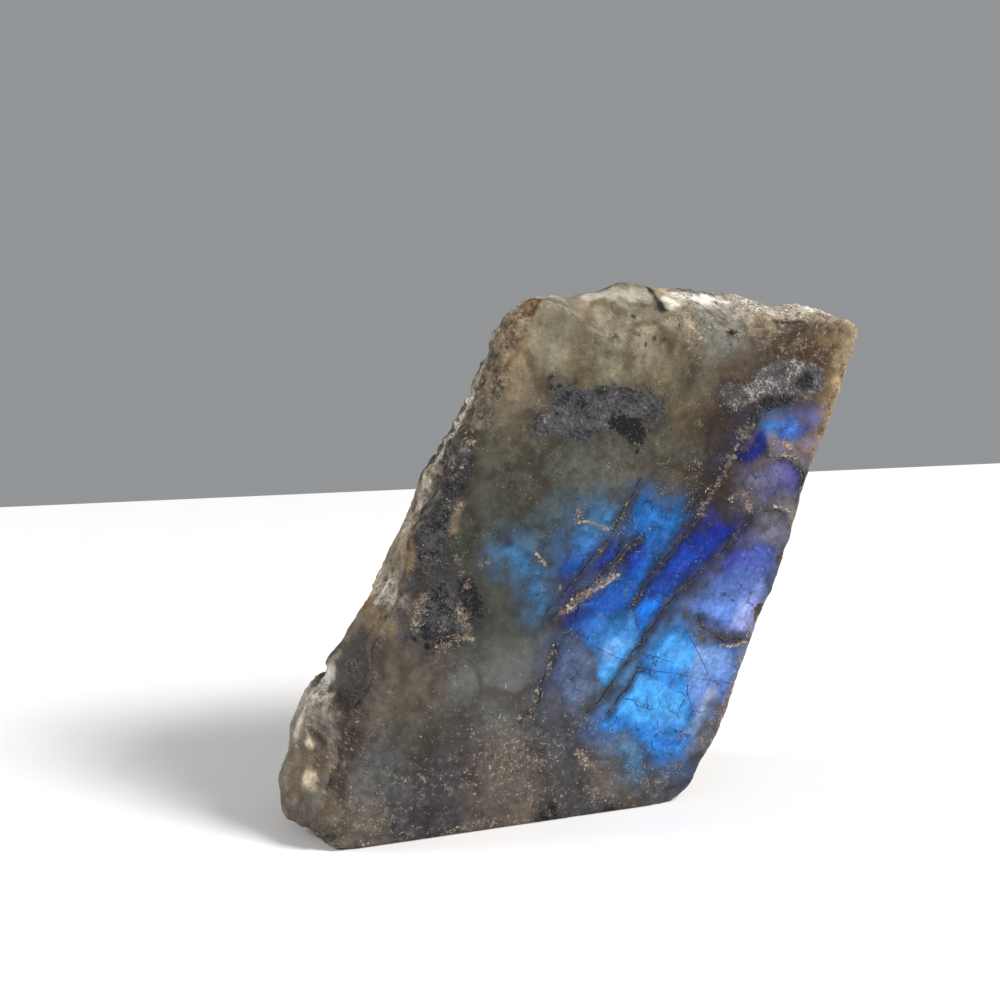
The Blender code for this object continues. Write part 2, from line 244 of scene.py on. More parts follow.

# Body colour of the face: soft zones round a line or a spot, with reach and colour; the amber zones are
# partly a painted glow, and the haze zones partly a painted sheen
FACE_ZONES = [
    ([(23.5, 55.7), (24.1, 53.0)], 2.3, MILK),
    ([(29.8, 52.5), (36.3, 52.3)], 1.9, MILK),
    ([(30.6, 57.5), (33.9, 57.4)], 1.9, WARM_MILK),
    ([(19.5, 55.9), (17.3, 51.0)], 1.4, AMBER_AND_GLOW),
    ([(26.7, 53.4), (27.0, 50.1)], 0.7, OLIVE),
    ([(35.0, 49.8)], 0.8, OLIVE),
    ([(57.2, 53.6)], 0.8, OCHRE),
    ([(51.0, 33.7)], 0.5, STEEL),
    ([(17.6, 48.0), (21.0, 47.8)], 1.5, KHAKI),
    ([(38.7, 52.2), (39.9, 46.6)], 1.4, OLIVE),
    ([(40.1, 49.0), (40.7, 47.9)], 0.7, PALE_GREEN),
    ([(42.9, 54.8), (46.3, 52.4)], 1.4, STEEL),
    ([(45.2, 49.6), (47.6, 50.6)], 0.7, BROWN),
    ([(53.6, 44.9), (55.2, 44.5)], 0.5, BROWN),
    ([(19.3, 45.0)], 0.8, KHAKI),
    ([(49.1, 53.4), (57.4, 51.8)], 1.5, BROWN),
    ([(51.6, 53.8), (53.2, 53.4)], 0.9, DARK_BROWN),
    ([(49.3, 55.3), (51.0, 55.2)], 0.8, CREAM),
    ([(38.4, 55.4), (39.6, 54.4)], 0.2, TAN),
    ([(61.0, 54.0), (59.5, 48.4)], 0.6, AMBER_AND_GLOW),
    ([(57.7, 46.1), (56.0, 41.0)], 0.9, OCHRE),
    ([(42.9, 44.2), (46.1, 41.7)], 1.7, DARK_BROWN),
    ([(26.7, 41.1), (29.0, 40.9)], 1.9, PALE_GREEN),
    ([(34.4, 40.8), (37.4, 40.3)], 1.9, OLIVE_GREY),
    ([(17.5, 43.7), (18.5, 40.3)], 1.9, OLIVE_GREY),
    ([(19.6, 37.0), (21.9, 36.8)], 2.3, GREEN_GREY),
    ([(23.6, 33.9), (26.0, 34.8)], 1.3, TEAL_GREY),
    ([(17.2, 30.6), (17.0, 23.9)], 2.1, GREEN_GREY),
    ([(17.8, 18.4), (18.6, 15.8)], 2.1, HAZE_AND_SHEEN),
    ([(5.6, 21.8), (3.7, 16.4)], 2.3, TAUPE),
    ([(6.4, 13.9), (7.5, 11.5)], 1.5, OLIVE_GREY),
    ([(8.0, 8.0), (10.5, 4.2)], 2.6, DARK_SLATE),
    ([(2.9, 9.2), (3.4, 8.0)], 1.5, HAZE_AND_SHEEN),
    ([(16.6, 6.8), (17.1, 3.3)], 2.1, TAUPE),
    ([(14.1, 1.9), (21.2, 2.1)], 1.3, TAUPE),
    ([(23.7, 3.5), (28.5, 1.7)], 1.5, SLATE),
    ([(29.6, 4.6), (32.4, 2.6)], 1.3, TAUPE),
    ([(34.7, 3.8), (35.9, 2.4)], 1.3, BLUE_SLATE),
    ([(2.4, 25.4), (-0.7, 17.0), (-1.9, 12.7)], 1.1, UMBER),
    ([(-2.7, 6.1), (-1.2, 2.5)], 1.7, TAUPE),
    ([(22.1, 14.2), (23.8, 9.4)], 1.7, BLUE_SLATE),
    ([(46.8, 18.4), (44.2, 11.6), (41.0, 5.9)], 0.6, TAUPE),
    ([(47.9, 39.9), (50.5, 39.9)], 0.8, OCHRE),
    ([(50.8, 40.7), (55.6, 40.0)], 0.8, TAN),
    ([(41.1, 35.2), (46.1, 34.8)], 1.3, DARK_BROWN),
    ([(22.8, 24.2), (24.6, 24.0)], 0.6, UMBER),
    ([(9.1, 26.9), (11.4, 26.7)], 2.1, SLATE),
    ([(9.5, 37.8), (11.2, 39.8)], 1.7, UMBER),
    ([(12.1, 34.3), (14.3, 30.8)], 1.3, GREEN_GREY),
]

# The same on the broken sides; the glint zones are painted glints, and the crust along the top is partly a
# painted highlight
SIDE_ZONES = [
    ([(-4.5, 7.0)], 0.9, KHAKI),
    ([(-3.6, 9.2), (-3.9, 10.9)], 1.6, KHAKI),
    ([(-2.4, 15.4), (-2.9, 14.6)], 0.8, PAINTED_GLINT),
    ([(-2.2, 12.8)], 1.0, TAUPE),
    ([(0.3, 16.5), (1.6, 21.0)], 1.6, UMBER),
    ([(2.8, 23.2), (4.1, 25.0)], 0.9, OCHRE),
    ([(5.0, 26.6), (6.2, 27.6)], 0.8, PAINTED_GLINT),
    ([(7.1, 29.8)], 1.0, OLIVE),
    ([(8.6, 31.9), (9.4, 33.0)], 0.9, CREAM),
    ([(10.3, 36.0), (11.4, 38.0)], 1.2, STEEL),
    ([(-5.2, 3.2), (-2.0, 1.5)], 1.5, TAUPE),
    ([(12.4, 39.5), (14.4, 43.0)], 1.3, UMBER),
    ([(16.2, 46.0), (18.6, 52.3)], 1.6, KHAKI),
    ([(20.5, 56.5)], 1.2, OCHRE),
    ([(25.0, 58.5), (27.5, 56.8)], 1.5, WARM_MILK),
    ([(29.2, 57.4)], 0.9, TAN),
    ([(30.2, 57.0), (36.2, 57.6)], 2.6, MILK),
    ([(38.0, 57.4), (39.6, 56.0)], 0.7, CREAM),
    ([(43.0, 56.8), (45.5, 56.0)], 1.3, STEEL),
    ([(48.0, 56.0), (54.0, 55.6), (61.0, 54.6)], 1.5, PALE_CRUST_AND_HIGHLIGHT),
    ([(61.5, 53.0), (58.5, 46.0)], 1.4, OCHRE),
    ([(56.0, 38.0), (50.0, 24.0), (44.0, 10.0)], 2.5, TAUPE),
    ([(30.0, 8.0), (12.0, 8.0)], 5.0, GREEN_GREY),
    ([(20.0, 24.0), (34.0, 30.0)], 6.0, OLIVE_GREY),
    ([(26.0, 44.0), (44.0, 44.0)], 5.0, KHAKI),
    ([(33.0, 18.0)], 4.0, TEAL_GREY),
]

# Marks of the broken left side and of the top: line or spot (x, y, z), reach and colour; the pale glint,
# silver, crest and glow marks among them are painted light
SIDE_MARKS = [
    ([(13.5, 3.7, 43.3), (12.3, 3.0, 39.9), (10.4, 3.0, 36.5), (8.6, 2.6, 33.4)], 1.7, SOOT),
    ([(12.6, 7.0, 41.0), (11.2, 6.0, 37.6)], 1.2, SOOT),
    ([(16.2, 8.4, 47.7), (14.5, 9.2, 44.5), (13.6, 9.0, 42.8), (11.8, 9.4, 39.8)], 0.8, PAINTED_SILVER_HIGHLIGHT),
    ([(11.8, 9.4, 39.8), (10.7, 9.7, 36.8), (9.8, 8.2, 35.9)], 1.2, PAINTED_GLINT),
    ([(12.3, 7.8, 39.8)], 0.9, TAN),
    ([(12.8, 2.7, 37.0), (11.9, 2.5, 34.4)], 0.55, GOLDEN),
    ([(9.0, 9.4, 33.5), (8.7, 10.0, 32.9)], 0.9, PAINTED_SILVER_HIGHLIGHT),
    ([(7.3, 2.9, 32.8), (6.5, 2.9, 30.4)], 1.0, GOLDEN),
    ([(6.7, 7.0, 29.6)], 1.1, GOLDEN),
    ([(6.2, 7.0, 28.4)], 0.6, DARK_BROWN),
    ([(5.6, 7.2, 27.4), (4.9, 6.4, 26.2)], 1.2, PAINTED_SILVER_HIGHLIGHT),
    ([(4.0, 5.2, 25.0), (4.1, 2.4, 24.2)], 1.3, GOLDEN),
    ([(2.7, 7.2, 23.6), (1.6, 7.8, 21.6)], 0.6, STEEL),
    ([(2.4, 5.0, 22.4)], 1.4, UMBER),
    ([(0.6, 8.3, 19.7), (-0.2, 9.1, 18.8)], 0.5, TAN),
    ([(1.6, 5.4, 20.6), (1.0, 5.6, 19.0), (0.2, 3.9, 16.4)], 2.3, DARK_BROWN),
    ([(-0.8, 8.9, 17.4), (-1.9, 8.6, 15.7)], 1.2, PAINTED_SILVER_HIGHLIGHT),
    ([(-2.3, 8.6, 15.4), (-2.4, 7.3, 15.3), (-1.5, 6.0, 15.6)], 0.8, PAINTED_SILVER_HIGHLIGHT),
    ([(-3.9, 8.0, 13.4), (-4.7, 8.0, 10.9)], 0.8, PAINTED_GLINT),
    # Bars on the lower left lump: the pale ones are painted streaks of glint
    ([(-3.2, 5.4, 12.8), (-1.8, 2.6, 11.5)], 0.40, TAN),
    ([(-2.6, 5.4, 13.7), (-1.0, 1.8, 12.4)], 0.36, STEEL),
    ([(-3.4, 5.5, 12.2), (-1.9, 2.4, 10.9)], 0.34, DARK_BROWN),
    ([(-3.7, 5.6, 11.5), (-2.5, 3.1, 10.2)], 0.38, TAN),
    ([(-3.8, 5.1, 10.8)], 0.7, PAINTED_GLOW_CORE),
    ([(-2.1, 2.1, 9.6)], 1.8, TAN),
    ([(-4.6, 1.6, 4.8), (-3.6, 0.9, 6.0), (-3.0, 0.8, 4.0)], 1.5, BUFF),
    ([(-5.6, 6.2, 5.0), (-5.4, 6.6, 6.6), (-5.2, 6.2, 8.6)], 1.4, TAN),
    ([(-4.4, 4.2, 7.4), (-4.3, 4.6, 9.2)], 1.5, GOLDEN),
    # Painted glow through the thin lump, with its bright core
    ([(-4.4, 4.2, 7.2)], 1.45, PAINTED_GLOW),
    ([(-4.5, 4.3, 7.2)], 1.05, PAINTED_GLOW_CORE),
    ([(0.3, 2.6, 15.5), (-0.9, 1.5, 12.4), (-1.8, 0.9, 9.1)], 0.5, UMBER),
    ([(16.8, 8.0, 49.6), (18.0, 8.8, 52.0)], 0.8, PAINTED_GLINT),
    # Painted highlights along the lit crest
    ([(18.4, 8.6, 54.6), (19.4, 8.2, 56.0), (20.8, 6.8, 57.4)], 1.1, PAINTED_CREST_HIGHLIGHT),
    ([(23.0, 6.2, 57.8), (25.4, 5.8, 58.2)], 0.9, PAINTED_CREST_HIGHLIGHT),
    ([(29.6, 8.6, 58.2), (31.4, 8.8, 58.2), (36.4, 7.4, 57.8)], 1.0, PAINTED_CREST_HIGHLIGHT),
    ([(37.9, 6.2, 57.3), (41.0, 6.3, 57.0), (44.8, 6.9, 56.6)], 0.9, PAINTED_CREST_HIGHLIGHT),
    ([(18.4, 6.5, 54.6)], 1.0, TAN),
    ([(37.0, 9.0, 58.9), (37.2, 7.4, 57.9), (37.3, 5.4, 56.5)], 0.42, SOOT),
    ([(38.2, 6.8, 57.6), (38.9, 5.2, 56.8)], 0.7, PALE_CRUST_AND_HIGHLIGHT),
    ([(38.9, 4.6, 56.4), (40.4, 4.2, 55.2)], 0.5, CREAM),
    ([(39.6, 7.5, 57.7), (42.6, 7.4, 57.2), (47.5, 8.4, 56.8), (56.4, 7.0, 55.6)], 0.85, PAINTED_SILVER_HIGHLIGHT),
    ([(44.8, 7.3, 56.9)], 0.45, SOOT),
    ([(50.6, 7.0, 56.2)], 0.50, SOOT),
    ([(53.4, 6.4, 55.8)], 0.40, SOOT),
    ([(50.1, 3.9, 55.2)], 1.25, CREAM),
    ([(60.5, 4.2, 54.6), (54.0, 4.4, 55.2)], 0.5, CREAM),
]

# Where pale grains crowd: line or spot, reach, and how thickly they lie
GRAIN_ZONES = [
    ([(2.0, 4.0), (20.0, 9.0)], 7.0, 0.48),
    ([(50.6, 41.0), (55.6, 39.6)], 0.9, 0.95),
    ([(41.2, 43.9)], 0.5, 1.0),
    ([(61.4, 54.0), (59.8, 48.4)], 0.7, 0.9),
    ([(49.5, 52.8), (58.5, 50.6)], 1.8, 0.60),
    ([(20.0, 2.0), (25.5, 3.5), (31.0, 2.0), (35.0, 3.6)], 2.6, 0.52),
    ([(26.0, 7.6), (27.3, 6.0)], 0.9, 1.0),
    ([(5.0, 0.6), (19.0, 0.8)], 1.6, 0.60),
    ([(7.3, 24.4), (8.2, 27.2)], 0.9, 0.9),
    ([(10.2, 23.5)], 0.8, 0.8),
    ([(13.4, 22.6), (10.6, 21.4)], 1.0, 0.95),
    ([(12.4, 25.6), (13.6, 22.0)], 0.7, 0.9),
    ([(11.4, 17.0)], 0.5, 0.8),
    ([(4.1, 17.1)], 0.6, 0.9),
    ([(16.6, 11.8)], 0.8, 0.7),
    ([(7.4, 5.7)], 0.8, 1.0),
    ([(-1.0, 3.4), (3.5, 1.3)], 0.9, 0.6),
    ([(26.8, 35.5), (26.3, 34.1)], 0.6, 1.0),
    ([(22.0, 30.1)], 0.5, 0.9),
    ([(24.2, 27.0)], 0.4, 0.9),
    ([(24.4, 24.0), (26.5, 25.6), (30.4, 27.6)], 0.7, 0.95),
    ([(44.8, 35.1), (46.5, 35.5), (47.6, 33.3)], 0.4, 0.9),
    ([(48.6, 23.2), (46.9, 20.6)], 0.6, 0.55),
    ([(47.5, 19.5), (45.0, 12.0), (40.3, 6.0), (36.0, 3.0)], 0.9, 0.62),
    ([(41.1, 33.5), (44.2, 38.4), (47.5, 43.5)], 0.9, 0.75),
    ([(60.0, 47.5), (56.3, 39.5), (54.6, 33.0)], 0.9, 0.80),
    ([(51.8, 39.6), (53.5, 38.6)], 0.7, 0.9),
    ([(15.6, 30.3)], 0.6, 1.0),
    ([(12.8, 37.0), (11.9, 34.4)], 0.5, 0.8),
    ([(15.6, 30.5), (13.2, 27.6), (11.8, 33.2)], 0.7, 0.6),
    ([(18.2, 49.5)], 0.6, 1.0),
    ([(19.1, 45.2)], 0.7, 0.7),
    ([(39.9, 52.7), (42.6, 55.1)], 0.7, 0.8),
    ([(23.3, 19.8), (22.1, 16.5), (20.0, 12.4), (17.9, 11.3)], 0.6, 0.75),
    ([(44.0, 55.8), (50.0, 56.4), (58.0, 54.4)], 0.8, 0.85),
    ([(13.0, 41.0), (17.5, 51.5)], 0.9, 0.6),
]

# Smooth glassy breaks between the granular ones: line or spot, and reach
GLASSY_ZONES = [
    ([(26.0, 57.6), (29.5, 57.4), (36.5, 57.4)], 3.6),
    ([(-3.9, 12.5), (-4.3, 5.0)], 3.2),
    ([(0.8, 18.0), (2.4, 23.0)], 2.4),
    ([(7.0, 31.0)], 1.8),
    ([(43.0, 56.0), (46.5, 55.0)], 2.0),
]

# Calm milky lumps and haze, the haze partly a painted sheen, and breaks with silvery streaks: line or spot,
# and reach
CALM_ZONES = [
    ([(28.8, 56.4), (35.8, 56.6)], 3.2),
    ([(24.0, 57.0)], 2.0),
    ([(17.8, 24.0), (18.4, 16.0)], 3.6),
    ([(1.8, 19.6), (3.2, 23.0)], 2.4),
]
# The silvery streaks are painted glints along the breaks
STREAKED_ZONES = [
    ([(-3.0, 13.0), (-2.4, 10.0)], 2.6),
    ([(42.0, 56.4), (47.0, 55.6)], 2.0),
    ([(48.0, 56.0), (60.0, 55.0)], 1.2),
]

# Where the face is worn, so that short scratches show: line or spot, and reach
WEAR_ZONES = [([(6.0, 5.0), (17.0, 13.0)], 5.5), ([(12.0, 17.0)], 3.0), ([(26.0, 5.0)], 4.0)]

# Rust at the top left, with its reach, and small brown specks
RUST_ZONES = [([(21.4, 57.0)], 0.50), ([(21.8, 57.7)], 0.55), ([(22.3, 58.4)], 0.45)]
BROWN_SPECKS = [
    (31.2, 54.0), (33.8, 54.2), (34.6, 53.0), (35.7, 53.7), (36.8, 53.4), (30.5, 53.9), (33.9, 55.9),
    (23.2, 49.1), (26.2, 49.4), (18.0, 56.5),
]

# Dark mineral grown through the feldspar: outline, and how light it is between its grains
DARK_PATCHES = [
    ([(21.2, 45.5), (21.9, 45.9), (23.7, 46.2), (23.8, 48.7), (25.2, 48.7), (28.8, 48.4), (31.8, 48.5),
      (35.8, 48.0), (36.5, 46.8), (36.5, 45.4), (36.1, 44.6), (34.2, 44.4), (33.6, 41.6), (32.7, 42.5),
      (31.8, 43.4), (29.3, 43.6), (27.5, 42.5), (25.1, 42.8), (23.4, 44.0), (21.9, 44.1)], 0.38),
    ([(30.0, 45.0), (31.2, 45.3), (33.0, 45.2), (34.2, 45.0), (34.4, 43.8), (33.6, 41.2), (32.8, 42.0),
      (32.2, 43.1), (30.5, 43.5)], -0.3),
    ([(22.8, 49.3), (23.3, 49.7), (24.0, 49.3), (23.5, 48.7)], 0.0),
    ([(25.8, 49.5), (26.4, 50.1), (26.8, 49.5), (26.3, 48.8)], 0.0),
    ([(47.0, 44.9), (48.3, 46.4), (49.9, 46.7), (51.9, 46.4), (53.6, 45.9), (51.2, 45.3), (49.3, 45.0),
      (48.0, 43.5), (47.0, 43.4)], 0.05),
    ([(43.5, 47.2), (45.1, 47.8), (46.9, 48.0), (48.2, 48.6), (49.3, 49.5), (51.2, 50.2), (53.8, 50.0),
      (56.1, 49.1), (57.0, 47.6), (55.8, 46.3), (53.8, 46.0), (51.2, 46.5), (49.6, 46.5), (48.0, 46.2),
      (46.4, 45.2), (44.2, 45.8)], 0.62),
    ([(53.1, 48.1), (54.4, 49.1), (55.6, 48.3), (55.1, 46.9), (53.6, 47.0)], 0.25),
    ([(9.2, 37.0), (10.8, 41.5), (13.2, 43.8), (14.0, 42.6), (12.6, 38.6), (11.4, 35.0), (10.8, 32.7),
      (10.2, 30.5), (8.4, 30.7), (7.9, 32.0), (8.3, 34.2)], 0.26),
    ([(6.4, 23.0), (8.0, 24.9), (8.6, 27.1), (9.7, 28.5), (11.5, 28.5), (12.4, 26.3), (13.9, 23.3),
      (13.9, 21.7), (11.8, 21.4), (10.0, 21.4), (8.4, 21.3)], 0.22),
    ([(12.2, 26.7), (12.8, 28.6), (14.4, 28.6), (15.1, 26.5), (14.7, 24.2), (13.9, 23.0),
      (12.7, 24.4)], 0.06),
    ([(20.4, -0.3), (21.4, 1.8), (23.0, 2.0), (24.0, 1.2), (23.6, -0.3)], 0.05),
    ([(28.8, -0.3), (29.4, 1.0), (31.4, 0.9), (31.8, -0.3)], 0.05),
]

# Schiller: outline of each patch that lights up, and its colour at its first corner and at the
# corner half way round
SCHILLER_PATCHES = [
    ([(49.0, 43.3), (50.2, 44.0), (51.9, 44.1), (53.2, 43.6), (54.4, 43.1), (55.4, 42.7), (54.2, 42.1),
      (53.0, 41.8), (51.8, 41.2), (51.1, 42.2), (49.9, 42.0), (49.0, 42.5)], DEEP_AZURE, VIOLET),
    ([(44.4, 39.5), (46.1, 40.8), (47.4, 41.2), (48.6, 42.3), (49.5, 42.5), (49.4, 40.8), (47.6, 39.3),
      (46.1, 38.9)], NIGHT, COBALT),
    ([(47.1, 37.2), (48.3, 38.4), (50.3, 39.3), (52.2, 39.3), (53.7, 38.3), (54.3, 36.9), (53.5, 35.6),
      (51.5, 34.7), (49.7, 34.3), (47.8, 35.2)], LILAC, DUSK),
    ([(49.5, 31.8), (50.4, 32.7), (51.6, 32.9), (52.6, 32.0), (52.3, 30.1), (51.0, 29.2), (49.2, 29.3),
      (48.6, 30.2)], LILAC, LILAC),
    ([(50.6, 28.5), (49.3, 24.8), (48.2, 21.8), (47.1, 19.6), (44.8, 19.4), (43.2, 19.8), (41.6, 21.0),
      (40.8, 22.2), (40.0, 23.2), (41.5, 24.7), (43.6, 26.3), (44.9, 28.4), (46.5, 29.4)],
     VIOLET, PERIWINKLE),
    ([(42.4, 19.0), (43.8, 19.5), (45.6, 19.0), (46.8, 18.5), (45.4, 17.7), (43.4, 18.0)], LILAC, LILAC),
    ([(43.6, 27.2), (45.7, 29.5), (48.8, 29.9), (50.0, 28.4), (48.9, 26.9), (46.6, 27.0), (44.8, 26.2)],
     INDIGO, VIOLET),
    ([(42.1, 23.6), (43.6, 24.6), (45.5, 25.6), (46.7, 24.3), (47.1, 21.9), (45.9, 20.6), (43.8, 21.3),
      (42.1, 22.4)], PERIWINKLE, PERIWINKLE),
    ([(48.9, 26.4), (49.6, 24.4), (48.4, 21.6), (47.3, 19.6), (45.0, 19.8), (45.6, 21.8), (47.0, 23.4)],
     PERIWINKLE, LAVENDER),
    ([(44.6, 32.0), (46.0, 31.4), (44.6, 29.8), (42.4, 28.2), (40.2, 26.4), (37.5, 23.9), (36.2, 22.8),
      (34.9, 21.7), (33.6, 20.0), (33.2, 22.3), (32.7, 23.4), (33.6, 26.0), (35.4, 26.9), (36.5, 28.4),
      (38.6, 30.6), (40.5, 31.7), (42.2, 32.4)], COBALT, BLUE),
    ([(33.6, 20.0), (34.9, 21.7), (37.0, 23.6), (36.0, 24.8), (33.6, 24.6), (32.9, 23.2)], ROYAL, ROYAL),
    ([(36.4, 35.2), (38.9, 34.1), (37.9, 31.1), (36.3, 29.3), (35.1, 26.9), (33.0, 24.0), (32.2, 23.2),
      (30.4, 22.2), (28.0, 22.2), (27.0, 23.8), (25.9, 25.1), (27.8, 25.8), (30.2, 27.0), (31.5, 28.0),
      (32.3, 28.9), (32.8, 30.8), (32.4, 33.3), (32.9, 35.8), (34.7, 35.9)], SKY, BLUE),
    ([(31.6, 29.4), (33.4, 31.0), (35.0, 31.2), (34.8, 28.8), (33.4, 27.2), (32.0, 27.4)], COBALT, BLUE),
    ([(33.7, 34.5), (35.2, 35.0), (36.9, 33.2), (36.2, 32.7), (35.2, 33.4)], DEEP_AZURE, DEEP_AZURE),
    ([(26.0, 24.8), (28.0, 23.9), (30.4, 22.8), (32.6, 23.5), (33.4, 21.8), (33.7, 20.3), (32.4, 17.7),
      (31.3, 16.0), (29.7, 14.3), (28.2, 16.3), (27.6, 18.9), (26.2, 21.1), (25.2, 22.9)], COBALT, AZURE),
    ([(28.8, 19.6), (30.6, 20.4), (32.4, 20.4), (31.8, 18.2), (30.4, 16.4), (29.0, 17.6)], PALE_AZURE, AZURE),
    ([(29.4, 22.6), (31.0, 23.5), (32.5, 22.6), (32.2, 21.0), (30.4, 20.6)], SKY, SKY),
    ([(23.0, 19.9), (24.4, 21.6), (26.1, 21.3), (28.2, 19.1), (28.7, 16.3), (29.9, 14.3), (27.6, 13.6),
      (25.8, 13.2), (24.0, 14.2), (23.0, 16.2)], SLATE_BLUE, GREY_BLUE),
    ([(33.6, 17.0), (34.2, 18.4), (34.6, 18.8), (35.9, 20.4), (37.3, 21.4), (38.7, 20.9), (40.2, 19.6),
      (41.0, 18.4), (42.1, 18.6), (44.5, 18.5), (46.1, 16.1), (45.2, 14.4), (44.4, 13.7), (43.9, 12.0),
      (42.6, 10.8), (41.8, 9.8), (40.4, 8.8), (40.1, 7.6), (39.4, 6.4), (38.3, 5.1), (36.4, 5.3),
      (34.7, 6.1), (33.5, 7.6), (32.4, 8.5), (30.0, 8.8), (28.4, 10.1), (30.0, 12.3), (31.9, 14.0),
      (33.2, 15.8)], DEEP_AZURE, DEEP_AZURE),
    ([(35.7, 19.4), (37.1, 20.4), (38.8, 19.7), (40.0, 17.4), (40.3, 15.6), (38.5, 15.7), (36.5, 16.4),
      (34.9, 17.4)], AZURE, AZURE),
    ([(32.0, 15.0), (34.2, 15.4), (37.0, 14.3), (39.3, 13.2), (39.8, 11.4), (38.8, 9.6), (36.5, 9.2),
      (33.5, 10.2), (30.8, 11.8), (30.3, 13.0)], AZURE, AZURE),
    ([(40.2, 18.6), (43.8, 18.1), (45.9, 16.5), (46.0, 14.9), (44.6, 12.7), (42.6, 10.6), (40.2, 10.8),
      (39.2, 13.4), (39.4, 16.5)], PALE_AZURE, PERIWINKLE),
    ([(36.6, 7.0), (37.8, 8.3), (39.6, 9.7), (41.5, 11.8), (43.4, 13.4), (43.6, 12.0), (42.4, 10.2),
      (40.4, 8.0), (38.4, 6.6)], PALE_AZURE, MIST),
    ([(30.0, 9.3), (32.6, 8.5), (33.9, 7.0), (33.6, 4.6), (32.4, 4.7), (31.3, 6.8), (30.3, 8.0)],
     GREY_BLUE, TEAL),
    ([(33.2, 9.2), (34.7, 8.2), (38.5, 8.1), (40.6, 9.3), (39.4, 7.0), (37.0, 6.2), (33.9, 6.6)],
     DEEP_AZURE, ROYAL),
    ([(39.2, 4.4), (39.7, 4.7), (40.2, 4.1), (39.7, 3.6)], SLATE_BLUE, SLATE_BLUE),
    ([(17.2, 31.4), (18.6, 32.1), (20.8, 30.6), (22.6, 28.6), (21.9, 26.8), (20.6, 27.9), (18.7, 29.4)],
     TEAL, TEAL),
    ([(26.9, 33.6), (28.0, 33.6), (29.8, 32.5), (28.7, 30.2), (26.5, 28.2), (25.1, 27.8), (23.9, 28.8),
      (24.5, 30.6), (26.1, 32.7)], TEAL, BLUE),
    ([(28.1, 34.8), (29.5, 35.6), (31.2, 35.1), (30.5, 33.4), (28.9, 33.3)], TEAL, TEAL),
    ([(30.3, 31.8), (32.0, 31.0), (31.5, 29.6), (29.4, 28.1), (27.7, 28.0)], BLUE, COBALT),
    ([(20.9, 28.0), (22.4, 27.3), (22.5, 24.8), (21.6, 23.8), (20.7, 25.2)], TEAL, TEAL),
]

# Cleavage cracks open at the face: line, width and depth
CRACKS = [
    ([(34.0, 38.0), (33.4, 37.0), (32.7, 36.0), (31.3, 34.3), (30.0, 31.5), (27.7, 29.4),
      (25.8, 27.3), (22.8, 24.4)], 0.25, 0.16),
    ([(33.8, 31.3), (31.9, 30.2), (30.3, 28.6), (28.5, 27.3), (26.7, 26.1), (25.2, 24.7),
      (23.1, 23.3)], 0.55, 0.30),
    ([(48.2, 44.6), (47.3, 42.8), (45.4, 40.8), (43.8, 39.4), (42.3, 37.7), (41.1, 36.4),
      (39.6, 34.0)], 0.20, 0.20),
    ([(41.4, 33.8), (40.7, 32.8), (39.0, 31.3), (37.1, 29.3), (34.6, 26.4), (32.7, 23.9)],
     0.20, 0.18),
    ([(47.3, 32.4), (45.1, 30.0), (42.6, 28.0), (39.8, 25.8), (37.3, 23.9), (35.5, 21.4),
      (33.6, 19.3), (31.7, 17.0), (29.9, 14.4), (27.4, 12.2)], 0.24, 0.35),
    ([(33.6, 16.6), (31.7, 14.2), (29.6, 11.9)], 0.10, 0.10),
    ([(41.0, 21.7), (41.4, 20.6), (42.9, 19.1), (44.2, 18.5), (46.8, 18.7)], 0.40, 0.20),
    ([(49.9, 39.4), (52.7, 39.3), (53.3, 38.6), (54.1, 37.1), (54.1, 35.6), (53.5, 34.3)],
     0.40, 0.20),
    ([(49.3, 33.2), (50.9, 33.4), (51.8, 33.0), (52.7, 32.2)], 0.20, 0.18),
    ([(23.3, 19.8), (22.5, 17.8), (22.1, 16.5), (21.5, 14.3), (20.0, 12.4), (17.9, 11.3)],
     0.02, 0.06),
    ([(37.5, 57.0), (37.9, 56.0), (38.5, 55.0)], 0.10, 0.30),
]

# Thin closed cracks that only show as lines
HAIR_CRACKS = [
    [(33.2, 16.7), (35.4, 16.0), (37.9, 15.4), (41.0, 14.4), (43.6, 13.8), (45.5, 13.3)],
    [(33.6, 18.3), (36.0, 17.4), (37.5, 16.8)],
    [(27.5, 19.9), (29.1, 19.1), (30.5, 18.2), (31.7, 17.7)],
    [(39.3, 20.2), (40.2, 18.8), (41.4, 16.4), (42.0, 15.1)],
    [(32.7, 23.9), (33.1, 22.4), (33.6, 20.3)],
    [(34.9, 25.7), (35.5, 24.3), (36.6, 23.7)],
    [(31.8, 13.2), (32.9, 12.8), (33.2, 12.2), (34.8, 11.5), (35.6, 11.6)],
    [(34.4, 13.0), (34.4, 12.2), (34.8, 11.9)],
    [(36.4, 12.5), (36.9, 11.9), (37.2, 11.1), (38.0, 10.6)],
    [(37.5, 12.5), (38.0, 11.9), (38.4, 11.1)],
    [(39.5, 13.4), (39.5, 12.5), (39.8, 11.7)],
    [(35.0, 9.7), (35.6, 8.9), (35.4, 8.5), (34.9, 7.9), (35.0, 7.1), (35.4, 6.6)],
]

# Pale broken ledges along cracks and at the top border
PALE_LEDGES = [
    [(31.2, 27.6), (30.3, 27.1), (29.4, 26.5), (27.6, 26.1), (27.0, 25.4)],
    [(26.3, 33.9), (27.7, 33.9), (28.9, 33.3), (30.1, 32.8)],
    [(21.2, 31.0), (21.9, 30.3), (22.5, 29.4)],
    [(49.9, 39.6), (52.7, 39.5), (53.5, 38.8)],
    [(38.6, 56.4), (39.6, 55.2), (41.1, 53.6), (42.0, 53.0)],
    [(50.4, 33.8), (51.9, 33.3), (52.8, 32.5)],
    [(43.6, 18.1), (45.2, 17.8), (46.9, 18.2)],
]


